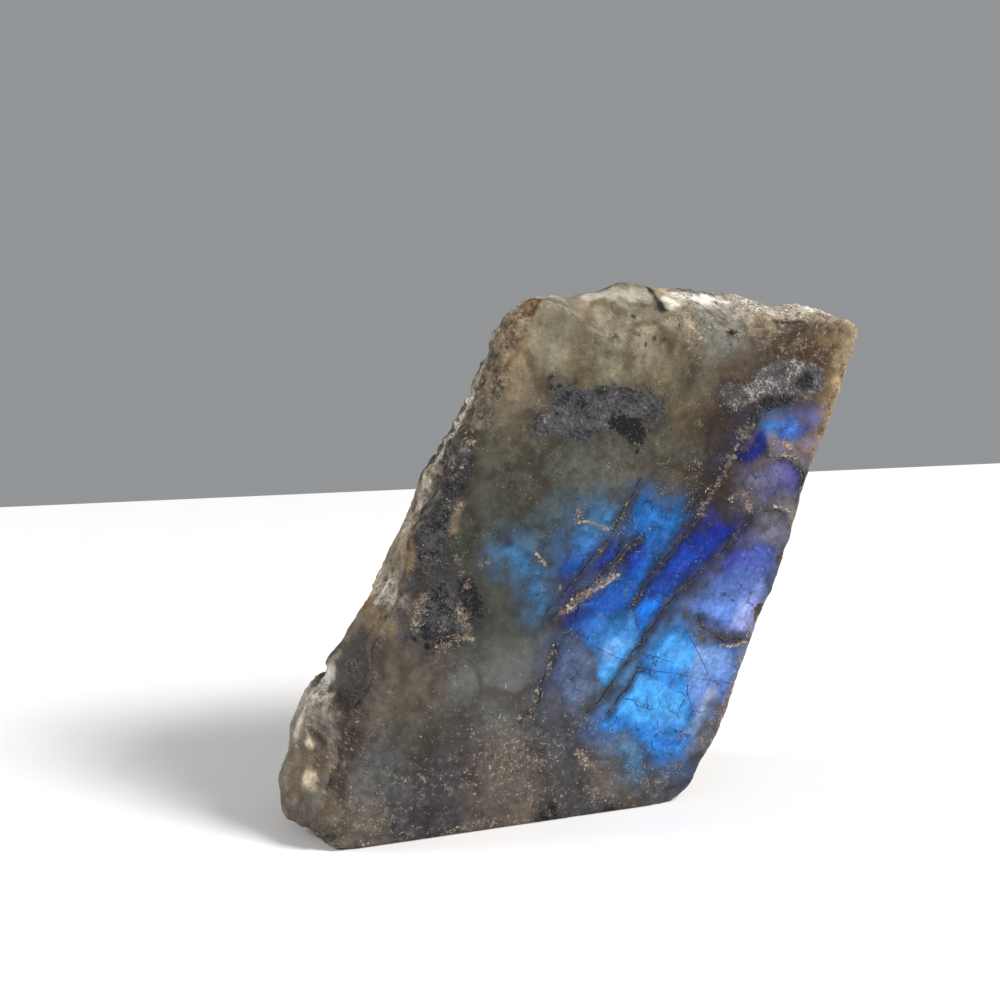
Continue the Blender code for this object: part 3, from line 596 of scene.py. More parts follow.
# ---------------------------------------------------------------- mesh of the stone


def positions(mesh):
    flat = np.empty(len(mesh.vertices) * 3, np.float32)
    mesh.vertices.foreach_get("co", flat)
    points = flat.reshape(-1, 3).astype(float) / MM
    return points - [CORNER_X, CORNER_Y, 0.0]


def set_positions(mesh, points):
    places = (points + [CORNER_X, CORNER_Y, 0.0]) * MM
    low, high = np.array(cad_box[0]), np.array(cad_box[1])
    mesh.vertices.foreach_set("co", np.clip(places, low, high).astype(np.float32).ravel())
    mesh.update()


def normals(mesh):
    flat = np.empty(len(mesh.vertices) * 3, np.float32)
    mesh.vertex_normals.foreach_get("vector", flat)
    return flat.reshape(-1, 3).astype(float)


def smooth_step(low, high, value):
    share = np.clip((value - low) / (high - low), 0.0, 1.0)
    return share * share * (3 - 2 * share)


def noise_at(points, size, shift=(0.0, 0.0, 0.0)):
    moved = points / size + np.array(shift)
    return np.array([noise.noise(Vector(point)) for point in moved])


def face_plane(points):
    """The y of the ground face at the height of each place."""
    return points[:, 2] * math.tan(FACE_LEAN)


def behind_face(points):
    return points[:, 1] - face_plane(points)


def distance_to_line(flat, line):
    """Distance from each place to a spot or to a line through several corners."""
    corners = np.array(line, float)
    nearest = np.linalg.norm(flat - corners[0], axis=1)
    for start, end in zip(corners, corners[1:]):
        side = end - start
        share = np.clip((flat - start) @ side / (side @ side), 0.0, 1.0)
        gap = np.linalg.norm(flat - start - share[:, None] * side, axis=1)
        nearest = np.minimum(nearest, gap)
    return nearest


def depth_inside(flat, outline):
    """How far each place lies inside a closed outline on the face, negative outside it."""
    corners = np.array(outline)
    inside = np.zeros(len(flat), bool)
    for (ax, az), (bx, bz) in zip(corners, np.roll(corners, -1, axis=0)):
        spans = (az > flat[:, 1]) != (bz > flat[:, 1])
        cross = ax + (flat[:, 1] - az) * (bx - ax) / (bz - az if bz != az else 1e-9)
        inside ^= spans & (flat[:, 0] < cross)
    gap = distance_to_line(flat, list(outline) + [outline[0]])
    return np.where(inside, gap, -gap)


def zone_share(flat, zones):
    """1 in the middle of any of the soft zones, falling to 0 outside them all."""
    share = np.zeros(len(flat))
    for line, reach in zones:
        share = np.maximum(share, np.exp(-((distance_to_line(flat, line) / reach) ** 2)))
    return share


def edge_ends(mesh):
    ends = np.empty(len(mesh.edges) * 2, np.int32)
    mesh.edges.foreach_get("vertices", ends)
    return ends.reshape(-1, 2).T


def nearest_tree(points):
    tree = KDTree(len(points))
    for i, point in enumerate(points):
        tree.insert(point, i)
    tree.balance()
    return tree


def neighbours_mean(mesh, value, rounds):
    """Each vertex's value averaged over its neighbours, some rounds over."""
    a, b = edge_ends(mesh)
    count = np.bincount(a, minlength=len(value)) + np.bincount(b, minlength=len(value))
    for _ in range(rounds):
        around = np.stack(
            [np.bincount(a, v[b], len(v)) + np.bincount(b, v[a], len(v)) for v in value.T],
            axis=1,
        )
        value = around / count[:, None]
    return value


def fine_copy(cad_node, name):
    """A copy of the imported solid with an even, fine mesh."""
    stone = bpy.data.objects.new(name, cad_node.data.copy())
    bpy.context.scene.collection.objects.link(stone)
    remesh = stone.modifiers.new("even", "REMESH")
    remesh.mode = "VOXEL"
    remesh.voxel_size = VOXEL * MM
    bpy.context.view_layer.update()
    graph = bpy.context.evaluated_depsgraph_get()
    mesh = bpy.data.meshes.new_from_object(stone.evaluated_get(graph))
    stone.modifiers.clear()
    stone.data = mesh
    mesh.name = name
    return stone


def facet(points, outward, amount, spacing, flatness, tilt, draw):
    """Breaks a surface into small flat facets round centres drawn at random."""
    order = draw.permutation(len(points))
    blocks = np.floor(points[order] / spacing + draw.random(3)).astype(int)
    centres = points[order[np.unique(blocks, axis=0, return_index=True)[1]]]
    tree = nearest_tree(centres)
    cell = np.array([tree.find(point)[1] for point in points])
    middle = np.zeros(centres.shape)
    facing = np.zeros(centres.shape)
    np.add.at(middle, cell, points)
    np.add.at(facing, cell, outward)
    count = np.bincount(cell, minlength=len(centres))[:, None]
    middle /= count
    facing = facing / count + draw.normal(0, tilt, centres.shape)
    facing /= np.linalg.norm(facing, axis=1)[:, None]
    standing = ((points - middle[cell]) * facing[cell]).sum(axis=1)
    return points - facing[cell] * (standing * amount * flatness)[:, None]


def uneven(points, size):
    """A factor of about 1 that is larger and smaller in patches of one size."""
    return 1.0 + UNEVENNESS * noise_at(points, size)


def way_to_border(points, on_face):
    """Distance from each place on the face to its border, and how far that lies left or up."""
    off = points[~on_face]
    tree = nearest_tree(off[behind_face(off) < BORDER_DEPTH])
    gap = np.zeros(len(points))
    left_or_up = np.where(points[:, 0] < LEFT_PART_X + LEFT_PART_LEAN * points[:, 2], 1.0, 0.0)
    for i in np.flatnonzero(on_face):
        place = points[i]
        nearest, _, gap[i] = tree.find(place)
        left = place[0] - nearest[0]
        up = max(nearest[2] - place[2], 0.0)
        left_or_up[i] = (left + up) / max(gap[i], 0.1)
    return gap, np.clip(left_or_up * 1.5, 0.0, 1.0)


def wear_border(stone, on_face):
    """Rounds the border of the ground face where it meets the breaks, and chips it all round."""
    points = positions(stone.data)
    gap, left_or_up = way_to_border(points, on_face)
    away_from_base = smooth_step(0.0, WEAR_HEIGHT, points[:, 2])
    reach = CHIP_REACH * np.clip(CHIP_SHARE + 1.5 * noise_at(points, CHIP_SIZE), 0.0, 1.0)
    chip = smooth_step(0.0, 0.8, reach - gap) * on_face * away_from_base
    near = np.clip(1.0 - gap / (BEVEL_REACH * uneven(points, 3.0)), 0.0, 1.0)
    bevel = BEVEL_DEPTH * near ** 2 * left_or_up * away_from_base * uneven(points, 1.2)
    fading = smooth_step(BEVEL_END_X, BEVEL_FULL_X, points[:, 0])
    worn = fading * (1.0 - zone_share(points[:, [0, 2]], CALM_ZONES))
    points[:, 1] = np.maximum(points[:, 1], face_plane(points) + bevel * worn)
    points[:, 1] += CHIP_DEPTH * chip * uneven(points, 0.8)
    set_positions(stone.data, points)
    return on_face & (chip < 0.15) & (bevel < 0.30)


def round_arris(stone, on_face):
    """Takes the sharpness off the border of the ground face."""
    mesh = stone.data
    a, b = edge_ends(mesh)
    crossing = on_face[a] != on_face[b]
    border = np.zeros((len(mesh.vertices), 1))
    border[a[crossing]] = 1.0
    border[b[crossing]] = 1.0
    share = np.clip(neighbours_mean(mesh, border, 1) * 1.6, 0.0, 1.0)
    points = positions(mesh)
    set_positions(mesh, points + (neighbours_mean(mesh, points, 2) - points) * share)


def break_finely(stone):
    """Small facets and grit on the granular broken sides, soft swells on the glassy ones."""
    mesh = stone.data
    draw = np.random.default_rng(SEED)
    points = positions(mesh)
    broken = smooth_step(0.1, 0.9, behind_face(points)) * smooth_step(0.0, 0.5, points[:, 2])
    glassy = zone_share(points[:, [0, 2]], GLASSY_ZONES)
    softened = neighbours_mean(mesh, points, SOFTENING_ROUNDS)
    points += (softened - points) * (broken * (0.5 + 0.5 * glassy))[:, None]
    set_positions(mesh, points)
    amount = broken * (1 - 0.85 * glassy)
    for spacing, flatness, tilt in FINE_FACETS:
        points = facet(points, normals(mesh), amount, spacing, flatness, tilt, draw)
        set_positions(mesh, points)
    grit = noise_at(points, GRIT_SIZE)
    points += normals(mesh) * (GRIT_DEPTH * grit * amount)[:, None]
    set_positions(mesh, points)


def grind_face(stone):
    """Flattens the front again and opens its cracks."""
    points = positions(stone.data)
    facing_front = normals(stone.data)[:, 1] < -0.5
    on_face = facing_front & (behind_face(points) < FACE_REACH)
    points[:, 1] = np.where(on_face, face_plane(points), points[:, 1])
    flat = points[:, [0, 2]]
    ragged = CRACK_WANDER * noise_at(points, CRACK_WANDER_SIZE)
    hollow = LOWERED + WAVE_HEIGHT * noise_at(points, WAVE_SIZE)
    for line, _, depth in CRACKS:
        profile = 1 - smooth_step(0.0, CRACK_REACH, distance_to_line(flat, line) + ragged)
        hollow = np.maximum(hollow, CRACK_OPEN_SHARE * depth * profile)
    points[:, 1] += np.where(on_face, hollow, 0.0)
    set_positions(stone.data, points)
    return on_face


# ---------------------------------------------------------------- marks on the stone


def store(mesh, name, values):
    """Keeps a number or a colour for each vertex, for the materials to read."""
    kind = "FLOAT_COLOR" if values.ndim == 2 else "FLOAT"
    layer = mesh.attributes.new(name, kind, "POINT")
    if values.ndim == 2:
        values = np.concatenate([values, np.ones((len(values), 1))], axis=1)
    field = "color" if kind == "FLOAT_COLOR" else "value"
    layer.data.foreach_set(field, values.astype(np.float32).ravel())


def wandering(points, waves):
    """Places on the face, moved about a little so that borders of marks wander."""
    moved = points[:, [0, 2]]
    for size, reach in waves:
        shift_x = noise_at(points, size, (3.1, 0.0, 0.0))
        shift_z = noise_at(points, size, (0.0, 9.2, 4.0))
        moved = moved + reach * np.stack([shift_x, shift_z], axis=1)
    return moved


def zone_tint(flat, zones):
    """Colour of soft zones that run into each other."""
    total = np.full(len(flat), 0.01)
    colour = np.outer(total, GREY)
    for line, reach, tint in zones:
        wide = 1.35 * reach + 0.5
        weight = np.exp(-((distance_to_line(flat, line) / wide) ** 2)) * 3.0 / wide
        colour += np.outer(weight, tint)
        total += weight
    return colour / total[:, None]


def tint_with_painted_light(points):
    """Colour of the feldspar: zones of the face and of the sides, and single marks over them, among them
    painted glints, highlights, glow and sheen.
    """
    flat = wandering(points, BODY_WANDER)
    side = smooth_step(0.2, 2.2, behind_face(points) + 1.2 * noise_at(points, 2.0))[:, None]
    tint = zone_tint(flat, FACE_ZONES) * (1 - side) + zone_tint(flat, SIDE_ZONES) * side
    jitter = 0.5 * noise_at(points, 1.1) + 0.3 * noise_at(points, 0.6)
    for line, reach, colour in SIDE_MARKS:
        gap = distance_to_line(points, line) + jitter * min(reach, 1.0)
        tint += (np.array(colour) - tint) * smooth_step(1.3 * reach, 0.5 * reach, gap)[:, None]
    return tint


def dark_marks(flat):
    """Depth inside the nearest dark patch, and how light that patch is."""
    depth = np.full(len(flat), -FAR)
    light = np.zeros(len(flat))
    for outline, lightness in DARK_PATCHES:
        inside = depth_inside(flat, outline)
        nearer = inside > depth
        overlaid = (inside > 0) & (depth > 0)
        light = np.where(nearer | overlaid, lightness, light)
        depth = np.maximum(depth, inside)
    return depth, light


def schiller_marks(flat):
    """Depth inside the nearest schiller patch, and its colour, which turns along the patch."""
    depth = np.full(len(flat), -FAR)
    total = np.full(len(flat), 1e-6)
    around = np.outer(total, BLUE)
    patches = []
    for outline, first, last in SCHILLER_PATCHES:
        inside = depth_inside(flat, outline)
        depth = np.maximum(depth, inside)
        start = np.array(outline[0])
        way = np.array(outline[len(outline) // 2]) - start
        share = np.clip((flat - start) @ way / (way @ way), 0.0, 1.0)[:, None]
        own = np.array(first) * (1 - share) + np.array(last) * share
        weight = np.exp(np.clip(inside, -6.0, 0.0) * 2.0)
        around += own * weight[:, None]
        total += weight
        patches.append((smooth_step(*PATCH_EDGE, inside)[:, None], own))
    tint = around / total[:, None]
    for share, own in patches:
        tint = tint * (1 - share) + own * share
    return depth, tint


def side_of_lines(flat, lines):
    """Distance to the nearest line, negative on its right side, so that it passes through 0."""
    nearest = np.full(len(flat), FAR)
    signed = np.full(len(flat), FAR)
    for line in lines:
        for start, end in zip(np.array(line), np.array(line)[1:]):
            along = (end - start) / np.linalg.norm(end - start)
            across = (flat - start) @ np.array([-along[1], along[0]])
            gap = distance_to_line(flat, [start, end])
            closer = gap < nearest
            signed = np.where(closer, across, signed)
            nearest = np.minimum(nearest, gap)
    return signed


def nearest_line(flat, lines, half_widths=None):
    """Distance to the nearest line's edge."""
    gap = np.full(len(flat), FAR)
    for i, line in enumerate(lines):
        half = half_widths[i] if half_widths else 0.0
        gap = np.minimum(gap, distance_to_line(flat, line) - half)
    return gap


def clean_of_dark(points):
    """1 on the band of the broken sides that the dark mineral leaves clean."""
    start, full, still_full, end = CLEAN_BAND
    behind = behind_face(points)
    return smooth_step(start, full, behind) * smooth_step(end, still_full, behind)


def grain_crowding(flat):
    crowding = np.zeros(len(flat))
    for line, reach, amount in GRAIN_ZONES:
        crowding = np.maximum(crowding, amount * zone_share(flat, [(line, reach)]))
    return crowding


def hollowness(mesh, points):
    """How far each place lies inside its smoothed surroundings, negative on ridges."""
    around = neighbours_mean(mesh, points, HOLLOW_ROUNDS)
    inward = ((around - points) * normals(mesh)).sum(axis=1, keepdims=True)
    return neighbours_mean(mesh, inward, 2)[:, 0]


def mark_stone(stone):
    mesh = stone.data
    points = positions(mesh)
    flat = points[:, [0, 2]]
    moved = wandering(points, MARK_WANDER)
    dark_depth, dark_light = dark_marks(moved)
    schiller_depth, schiller_tint = schiller_marks(wandering(points, SCHILLER_WANDER))
    crack_lines = [line for line, _, _ in CRACKS]
    half_widths = [width / 2 for _, width, _ in CRACKS]
    marks = {
        "tint_with_painted_light": tint_with_painted_light(points),
        "dark_depth": dark_depth - CLEAN_STRENGTH * clean_of_dark(points),
        "dark_light": dark_light,
        "schiller_depth": schiller_depth,
        "schiller_tint": schiller_tint,
        "grain": grain_crowding(moved),
        "glassy": zone_share(flat, GLASSY_ZONES),
        "wear": zone_share(flat, WEAR_ZONES),
        "calm": zone_share(flat, CALM_ZONES),
        "streaked": zone_share(flat, STREAKED_ZONES),
        "rust": zone_share(moved, RUST_ZONES),
        "brown_speck": nearest_line(flat, [[spot] for spot in BROWN_SPECKS]),
        "crack_side": side_of_lines(moved, crack_lines),
        "crack_gap": nearest_line(moved, crack_lines, half_widths),
        "hair_side": side_of_lines(flat, HAIR_CRACKS),
        "hair_gap": nearest_line(flat, HAIR_CRACKS),
        "ledge_gap": nearest_line(flat, PALE_LEDGES),
        "hollowness": hollowness(mesh, points),
    }
    for name, values in marks.items():
        store(mesh, name, values)


# ---------------------------------------------------------------- shader nodes


class Nodes:
    """Short ways to add nodes to one tree. A value is a number, a colour or another socket."""

    def __init__(self, tree):
        self.tree = tree

    def put(self, socket, value):
        if isinstance(value, bpy.types.NodeSocket):
            self.tree.links.new(value, socket)
        elif isinstance(value, tuple) and socket.type == "RGBA":
            socket.default_value = (*value, 1.0)
        else:
            socket.default_value = value

    def add(self, kind, values=(), **settings):
        node = self.tree.nodes.new(kind)
        for name, value in settings.items():
            setattr(node, name, value)
        for name, value in dict(values).items():
            self.put(node.inputs[name], value)
        return node

    def math(self, operation, first, second=0.0):
        return self.add("ShaderNodeMath", {0: first, 1: second}, operation=operation).outputs[0]

    def times(self, first, *others):
        for other in others:
            first = self.math("MULTIPLY", first, other)
        return first

    def plus(self, first, *others):
        for other in others:
            first = self.math("ADD", first, other)
        return first

    def band(self, value, low, high, to_low=0.0, to_high=1.0):
        """to_low under low and to_high over high, with a soft step between."""
        values = {"Value": value, "From Min": low, "From Max": high, "To Min": to_low, "To Max": to_high}
        return self.add("ShaderNodeMapRange", values, interpolation_type="SMOOTHSTEP").outputs["Result"]

    def mix(self, share, first, second, way="MIX"):
        node = self.add("ShaderNodeMix", {0: share}, data_type="RGBA", blend_type=way)
        self.put(node.inputs[6], first)
        self.put(node.inputs[7], second)
        return node.outputs[2]

    def blend(self, share, first, second):
        return self.add("ShaderNodeMix", {0: share, 2: first, 3: second}, data_type="FLOAT").outputs[0]

    def gain(self, colour, amount):
        """A colour made lighter or darker by a factor."""
        grey = self.add("ShaderNodeCombineColor", {0: amount, 1: amount, 2: amount}).outputs[0]
        return self.mix(1.0, colour, grey, "MULTIPLY")

    def attribute(self, name, output="Fac"):
        return self.add("ShaderNodeAttribute", attribute_name=name).outputs[output]

    def vector(self, operation, first, second=None, scale=None):
        values = {0: first}
        if second is not None:
            values[1] = second
        if scale is not None:
            values["Scale"] = scale
        return self.add("ShaderNodeVectorMath", values, operation=operation).outputs[0]

    def place(self):
        """Place on the stone in millimetres."""
        return self.vector("SCALE", self.add("ShaderNodeTexCoord").outputs["Object"], scale=1 / MM)

    def face_place(self):
        """Place on the face in millimetres, as a flat vector."""
        parts = self.add("ShaderNodeSeparateXYZ", {0: self.place()}).outputs
        return self.add("ShaderNodeCombineXYZ", {0: parts[0], 1: parts[2]}).outputs[0]

    def along(self, place, angle, stretch):
        """Turned about Y, then stretched, so that a pattern runs in one direction."""
        values = {"Vector": place, "Rotation": (0.0, angle, 0.0), "Scale": stretch}
        return self.add("ShaderNodeMapping", values, vector_type="TEXTURE").outputs[0]

    def noise(self, place, size, detail=2.0, roughness=0.5, output=0):
        values = {"Vector": place, "Scale": 1 / size, "Detail": detail, "Roughness": roughness}
        return self.add("ShaderNodeTexNoise", values).outputs[output]

    def around_zero(self, place, size, detail=2.0, roughness=0.5):
        return self.math("SUBTRACT", self.noise(place, size, detail, roughness), 0.5)

    def shaken(self, place, size, reach):
        """A place moved about by up to half of reach."""
        shift = self.vector("SUBTRACT", self.noise(place, size, 3.0, output=1), (0.5, 0.5, 0.5))
        return self.vector("ADD", place, self.vector("SCALE", shift, scale=reach))

    def cell_edges(self, place, size):
        """Distance from the borders between cells."""
        values = {"Vector": place, "Scale": 1 / size}
        return self.add("ShaderNodeTexVoronoi", values, feature="DISTANCE_TO_EDGE").outputs["Distance"]

    def parts(self, colour):
        return self.add("ShaderNodeSeparateColor", {0: colour}).outputs


FLOAT, COLOUR = "NodeSocketFloat", "NodeSocketColor"


def new_group(name, inputs, outputs):
    """A node group with named sockets: (name, kind, value) for inputs, (name, kind) for outputs."""
    tree = bpy.data.node_groups.new(name, "ShaderNodeTree")
    for label, kind, value in inputs:
        socket = tree.interface.new_socket(label, in_out="INPUT", socket_type=kind)
        socket.default_value = (*value, 1.0) if kind == COLOUR else value
    for label, kind in outputs:
        tree.interface.new_socket(label, in_out="OUTPUT", socket_type=kind)
    taken = tree.nodes.new("NodeGroupInput").outputs
    given = tree.nodes.new("NodeGroupOutput").inputs
    return tree, Nodes(tree), taken, given


def feldspar_group():
    """Cloudy feldspar: the zone's colour in pools with darker veins between, clouds and mottling."""
    tree, n, taken, given = new_group(
        "cloudy_feldspar",
        [("Tint", COLOUR, GREY), ("Clouds", FLOAT, 1.0), ("Mottling", FLOAT, 1.0)],
        [("Colour", COLOUR), ("Height", FLOAT)],
    )
    place = n.place()
    clouds = n.times(n.around_zero(place, 3.4, 4.0, 0.55), taken["Clouds"], 1.7)
    mottle = n.noise(place, 0.8, 5.0, 0.68)
    fine = n.times(n.around_zero(place, 0.24, 3.0, 0.75), 1.15)
    mottled = n.times(n.plus(n.math("SUBTRACT", mottle, 0.5), n.times(fine, 0.4)), taken["Mottling"], 1.9)
    colour = n.gain(taken["Tint"], n.math("MAXIMUM", n.plus(1.0, clouds, mottled), 0.25))
    vein = n.cell_edges(n.shaken(n.shaken(place, 2.6, 3.2), 0.6, 0.7), 6.5)
    veined = n.times(n.band(vein, 0.01, 0.13, 0.75, 0.0), n.band(n.noise(place, 4.5, 2.0), 0.42, 0.60))
    colour = n.mix(veined, colour, n.mix(1.0, taken["Tint"], VEIN_FILTER, "MULTIPLY"))
    dots = n.band(n.noise(place, 0.42, 3.0, 0.6), 0.63, 0.70)
    crowded = n.band(n.noise(place, 2.4, 2.0), 0.45, 0.62)
    colour = n.mix(n.times(dots, crowded, 0.6), colour, DARK_DOT)
    n.put(given["Colour"], colour)
    n.put(given["Height"], mottle)
    return tree


def dark_mineral_group():
    """Dark mineral with ragged borders: black where dense, grey with pale grains elsewhere."""
    tree, n, taken, given = new_group(
        "dark_mineral",
        [("Depth", FLOAT, -FAR), ("Lightness", FLOAT, 0.3)],
        [("Mask", FLOAT), ("Halo", FLOAT), ("Colour", COLOUR), ("Height", FLOAT)],
    )
    place = n.place()
    wide = n.times(n.around_zero(place, 2.0, 4.0), 2.8)
    narrow = n.times(n.around_zero(place, 0.6, 3.0), 1.9)
    depth = n.plus(taken["Depth"], n.plus(wide, narrow))
    n.put(given["Mask"], n.band(depth, -0.38, 0.26))
    n.put(given["Halo"], n.band(depth, -1.8, 0.0, 0.0, 0.45))
    light = taken["Lightness"]
    laths = n.noise(n.along(n.shaken(place, 1.0, 1.0), 0.75, (1.9, 1.0, 0.8)), 0.50, 5.0, 0.66)
    crumbs = n.noise(n.shaken(place, 0.7, 1.0), 0.30, 4.0, 0.75)
    grains = n.blend(n.plus(0.35, n.times(light, 0.6)), laths, crumbs)
    patches = n.times(n.around_zero(place, 1.9, 3.0), 0.52)
    pale = n.plus(n.times(grains, 1.25), -0.23, n.times(light, 0.33), patches)
    colour = n.mix(n.band(pale, 0.36, 0.62), BLACK_GRAIN, GREY_GRAIN)
    flakes = n.mix(light, DIM_FLAKE, BRIGHT_FLAKE)
    n.put(given["Colour"], n.mix(n.band(pale, 0.62, 0.78), colour, flakes))
    n.put(given["Height"], grains)
    return tree


def grains_group():
    """Pale angular grains: the more of them, the higher Amount is."""
    tree, n, taken, given = new_group(
        "pale_grains",
        [("Amount", FLOAT, 0.3), ("Size", FLOAT, 0.4)],
        [("Mask", FLOAT), ("Colour", COLOUR)],
    )
    place = n.place()
    scaled = n.vector("SCALE", n.shaken(place, 0.8, 0.8), scale=n.math("DIVIDE", 1.0, taken["Size"]))
    grain = n.noise(scaled, 1.0, 2.0, 0.6)
    crowd = n.plus(taken["Amount"], -0.08, n.times(n.around_zero(place, 1.6, 3.0, 0.6), 1.5))
    n.put(given["Mask"], n.band(n.plus(grain, n.times(crowd, 0.20)), 0.715, 0.755))
    shade = n.noise(place, 0.6, 2.0, 0.7)
    colour = n.mix(n.band(shade, 0.35, 0.58), BROWN_GRAIN, TAN_GRAIN)
    n.put(given["Colour"], n.mix(n.band(shade, 0.60, 0.70), colour, PALE_GRAIN))
    return tree


def scratches_group():
    """Short curved scratches and pinholes on the face."""
    tree, n, taken, given = new_group(
        "short_scratches",
        [("Spacing", FLOAT, 1.4), ("Share", FLOAT, 0.3), ("Length", FLOAT, 0.5), ("Width", FLOAT, 0.04)],
        [("Mask", FLOAT)],
    )
    place = n.face_place()
    values = {"Vector": place, "Scale": n.math("DIVIDE", 1.0, taken["Spacing"])}
    cells = n.add("ShaderNodeTexVoronoi", values, voronoi_dimensions="2D").outputs
    chance = n.parts(cells["Color"])
    local = n.vector("SUBTRACT", place, cells["Position"])
    turned = n.add("ShaderNodeVectorRotate", {"Vector": local, "Angle": n.times(chance[0], math.tau)},
                   rotation_type="Z_AXIS").outputs[0]
    sides = n.add("ShaderNodeSeparateXYZ", {0: turned}).outputs
    bend = n.times(sides[0], sides[0], 0.35)
    reach = n.times(taken["Length"], n.plus(0.25, chance[1]))
    along = n.math("LESS_THAN", n.math("ABSOLUTE", sides[0]), reach)
    across = n.math("ABSOLUTE", n.plus(sides[1], bend))
    thin = n.band(n.math("DIVIDE", across, taken["Width"]), 0.6, 1.3, 1.0, 0.0)
    n.put(given["Mask"], n.times(along, thin, n.math("LESS_THAN", chance[2], taken["Share"])))
    return tree


def place_group(n, tree, values):
    node = n.add("ShaderNodeGroup")
    node.node_tree = tree
    for name, value in values.items():
        n.put(node.inputs[name], value)
    return node.outputs


def new_material(name):
    material = bpy.data.materials.new(name)
    material.use_nodes = True
    return material, Nodes(material.node_tree), material.node_tree.nodes["Principled BSDF"]


def schiller_colour(n, place, gap):
    """Blue schiller: its mask, its colour broken by lamellae, clouds and dark cracks, and its depth."""
    wide = n.times(n.around_zero(place, 1.5, 4.0, 0.6), 1.7)
    narrow = n.times(n.around_zero(place, 0.4, 3.0), 0.5)
    depth = n.plus(n.attribute("schiller_depth"), n.plus(wide, narrow))
    mask = n.band(depth, -0.45, 0.55)
    tint = n.attribute("schiller_tint", "Color")
    lamellae = n.noise(n.along(n.shaken(place, 2.0, 0.8), -0.85, (2.6, 1.0, 0.45)), 1.0, 4.0, 0.6)
    clouds = n.noise(place, 2.2, 4.0, 0.55)
    mottle = n.noise(place, 0.6, 5.0, 0.78)
    light = n.times(n.band(lamellae, 0.25, 0.75, 0.84, 1.14), n.band(clouds, 0.28, 0.72, 0.60, 1.28))
    light = n.times(light, n.band(mottle, 0.32, 0.68, 0.76, 1.22))
    # Dimmer towards the patch borders, and near the cracks as a painted shade of the cracks
    light = n.times(light, n.band(depth, -0.2, 1.5, 0.62, 1.0), n.band(gap, -0.1, 1.3, 0.42, 1.0))
    pale = n.times(n.band(n.noise(place, 1.4, 5.0, 0.7), 0.52, 0.72), 0.28)
    colour = n.mix(pale, n.gain(tint, light), n.mix(0.5, tint, PALE_SHEEN))
    web = n.cell_edges(n.shaken(place, 0.8, 1.2), 2.6)
    broken = n.times(n.band(web, 0.008, 0.032, 0.75, 0.0), n.band(n.noise(place, 1.9, 2.0), 0.52, 0.60))
    return mask, n.mix(broken, colour, NIGHT), depth


def hairline_marks(n, colour, place, jitter, rough):
    """Thin closed cracks that fade in and out."""
    side = n.math("ABSOLUTE", n.plus(n.attribute("hair_side"), n.times(jitter, 0.18)))
    near = n.band(n.attribute("hair_gap"), 0.22, 0.36, 1.0, 0.0)
    fading = n.band(n.noise(place, 1.6, 3.0), 0.35, 0.60, 0.25, 0.80)
    hairline = n.times(n.band(side, 0.020, 0.080, 1.0, 0.0), near, fading, n.band(rough, 0.30, 0.40))
    return n.mix(hairline, colour, NIGHT)


def ledge_marks(n, colour, place, jitter):
    """Pale crumbly ledges."""
    ledge = n.plus(n.attribute("ledge_gap"), n.times(jitter, 0.7))
    crumbs = n.mix(n.band(n.noise(place, 0.45, 3.0), 0.40, 0.62), LEDGE_SHADE, LEDGE_LIGHT)
    return n.mix(n.band(ledge, 0.06, 0.26, 0.90, 0.0), colour, crumbs)


def crack_marks(n, colour, place, gap):
    """Cracks over colour: painted shade beside them, a ragged grey-brown band, a dark core, chips, hairlines
    and ledges.
    """
    jitter = n.around_zero(place, 0.40, 4.0, 0.7)
    rough = n.noise(place, 0.30, 3.0, 0.7)
    edge = n.plus(gap, n.times(jitter, 0.7), n.times(n.around_zero(place, 1.4, 2.0), 0.7))
    # Soft darker band beside the crack: painted shade
    colour = n.mix(n.band(edge, -0.05, 0.80, 0.44, 0.0), colour, CRACK_SHADE)
    filled = n.band(n.noise(place, 2.6, 3.0), 0.42, 0.60, 0.26, 0.80)
    filling = n.mix(n.band(rough, 0.36, 0.62), CRACK_FILLING, PALE_FILLING)
    colour = n.mix(n.times(n.band(edge, -0.12, 0.14, 1.0, 0.0), filled), colour, filling)
    breaks = n.band(n.noise(place, 1.5, 3.0), 0.36, 0.48)
    side = n.math("ABSOLUTE", n.plus(n.attribute("crack_side"), n.times(jitter, 0.22), 0.10))
    core = n.times(n.band(side, 0.03, 0.15, 0.90, 0.0), breaks, n.band(gap, 0.1, 0.4, 1.0, 0.0))
    colour = n.mix(core, colour, CRACK_CORE)
    chips = n.band(n.noise(place, 0.26, 2.0, 0.7), 0.58, 0.65)
    chipped = n.band(n.noise(place, 1.3, 2.0), 0.48, 0.62)
    colour = n.mix(n.times(chips, chipped, n.band(edge, 0.02, 0.34, 0.75, 0.0)), colour, CRACK_CHIP)
    colour = hairline_marks(n, colour, place, jitter, rough)
    return ledge_marks(n, colour, place, jitter), core


def stains(n, colour):
    """Rust in its zones, and small brown specks."""
    jitter = n.times(n.around_zero(n.place(), 0.5, 3.0), 0.7)
    rust = n.plus(n.attribute("rust"), jitter)
    colour = n.mix(n.band(rust, 0.02, 0.70, 0.0, 0.70), colour, RUST)
    colour = n.mix(n.band(rust, 0.50, 0.80, 0.0, 0.90), colour, DEEP_RUST)
    speck = n.band(n.plus(n.attribute("brown_speck"), jitter), 0.22, 0.36, 0.8, 0.0)
    return n.mix(speck, colour, SPECK)


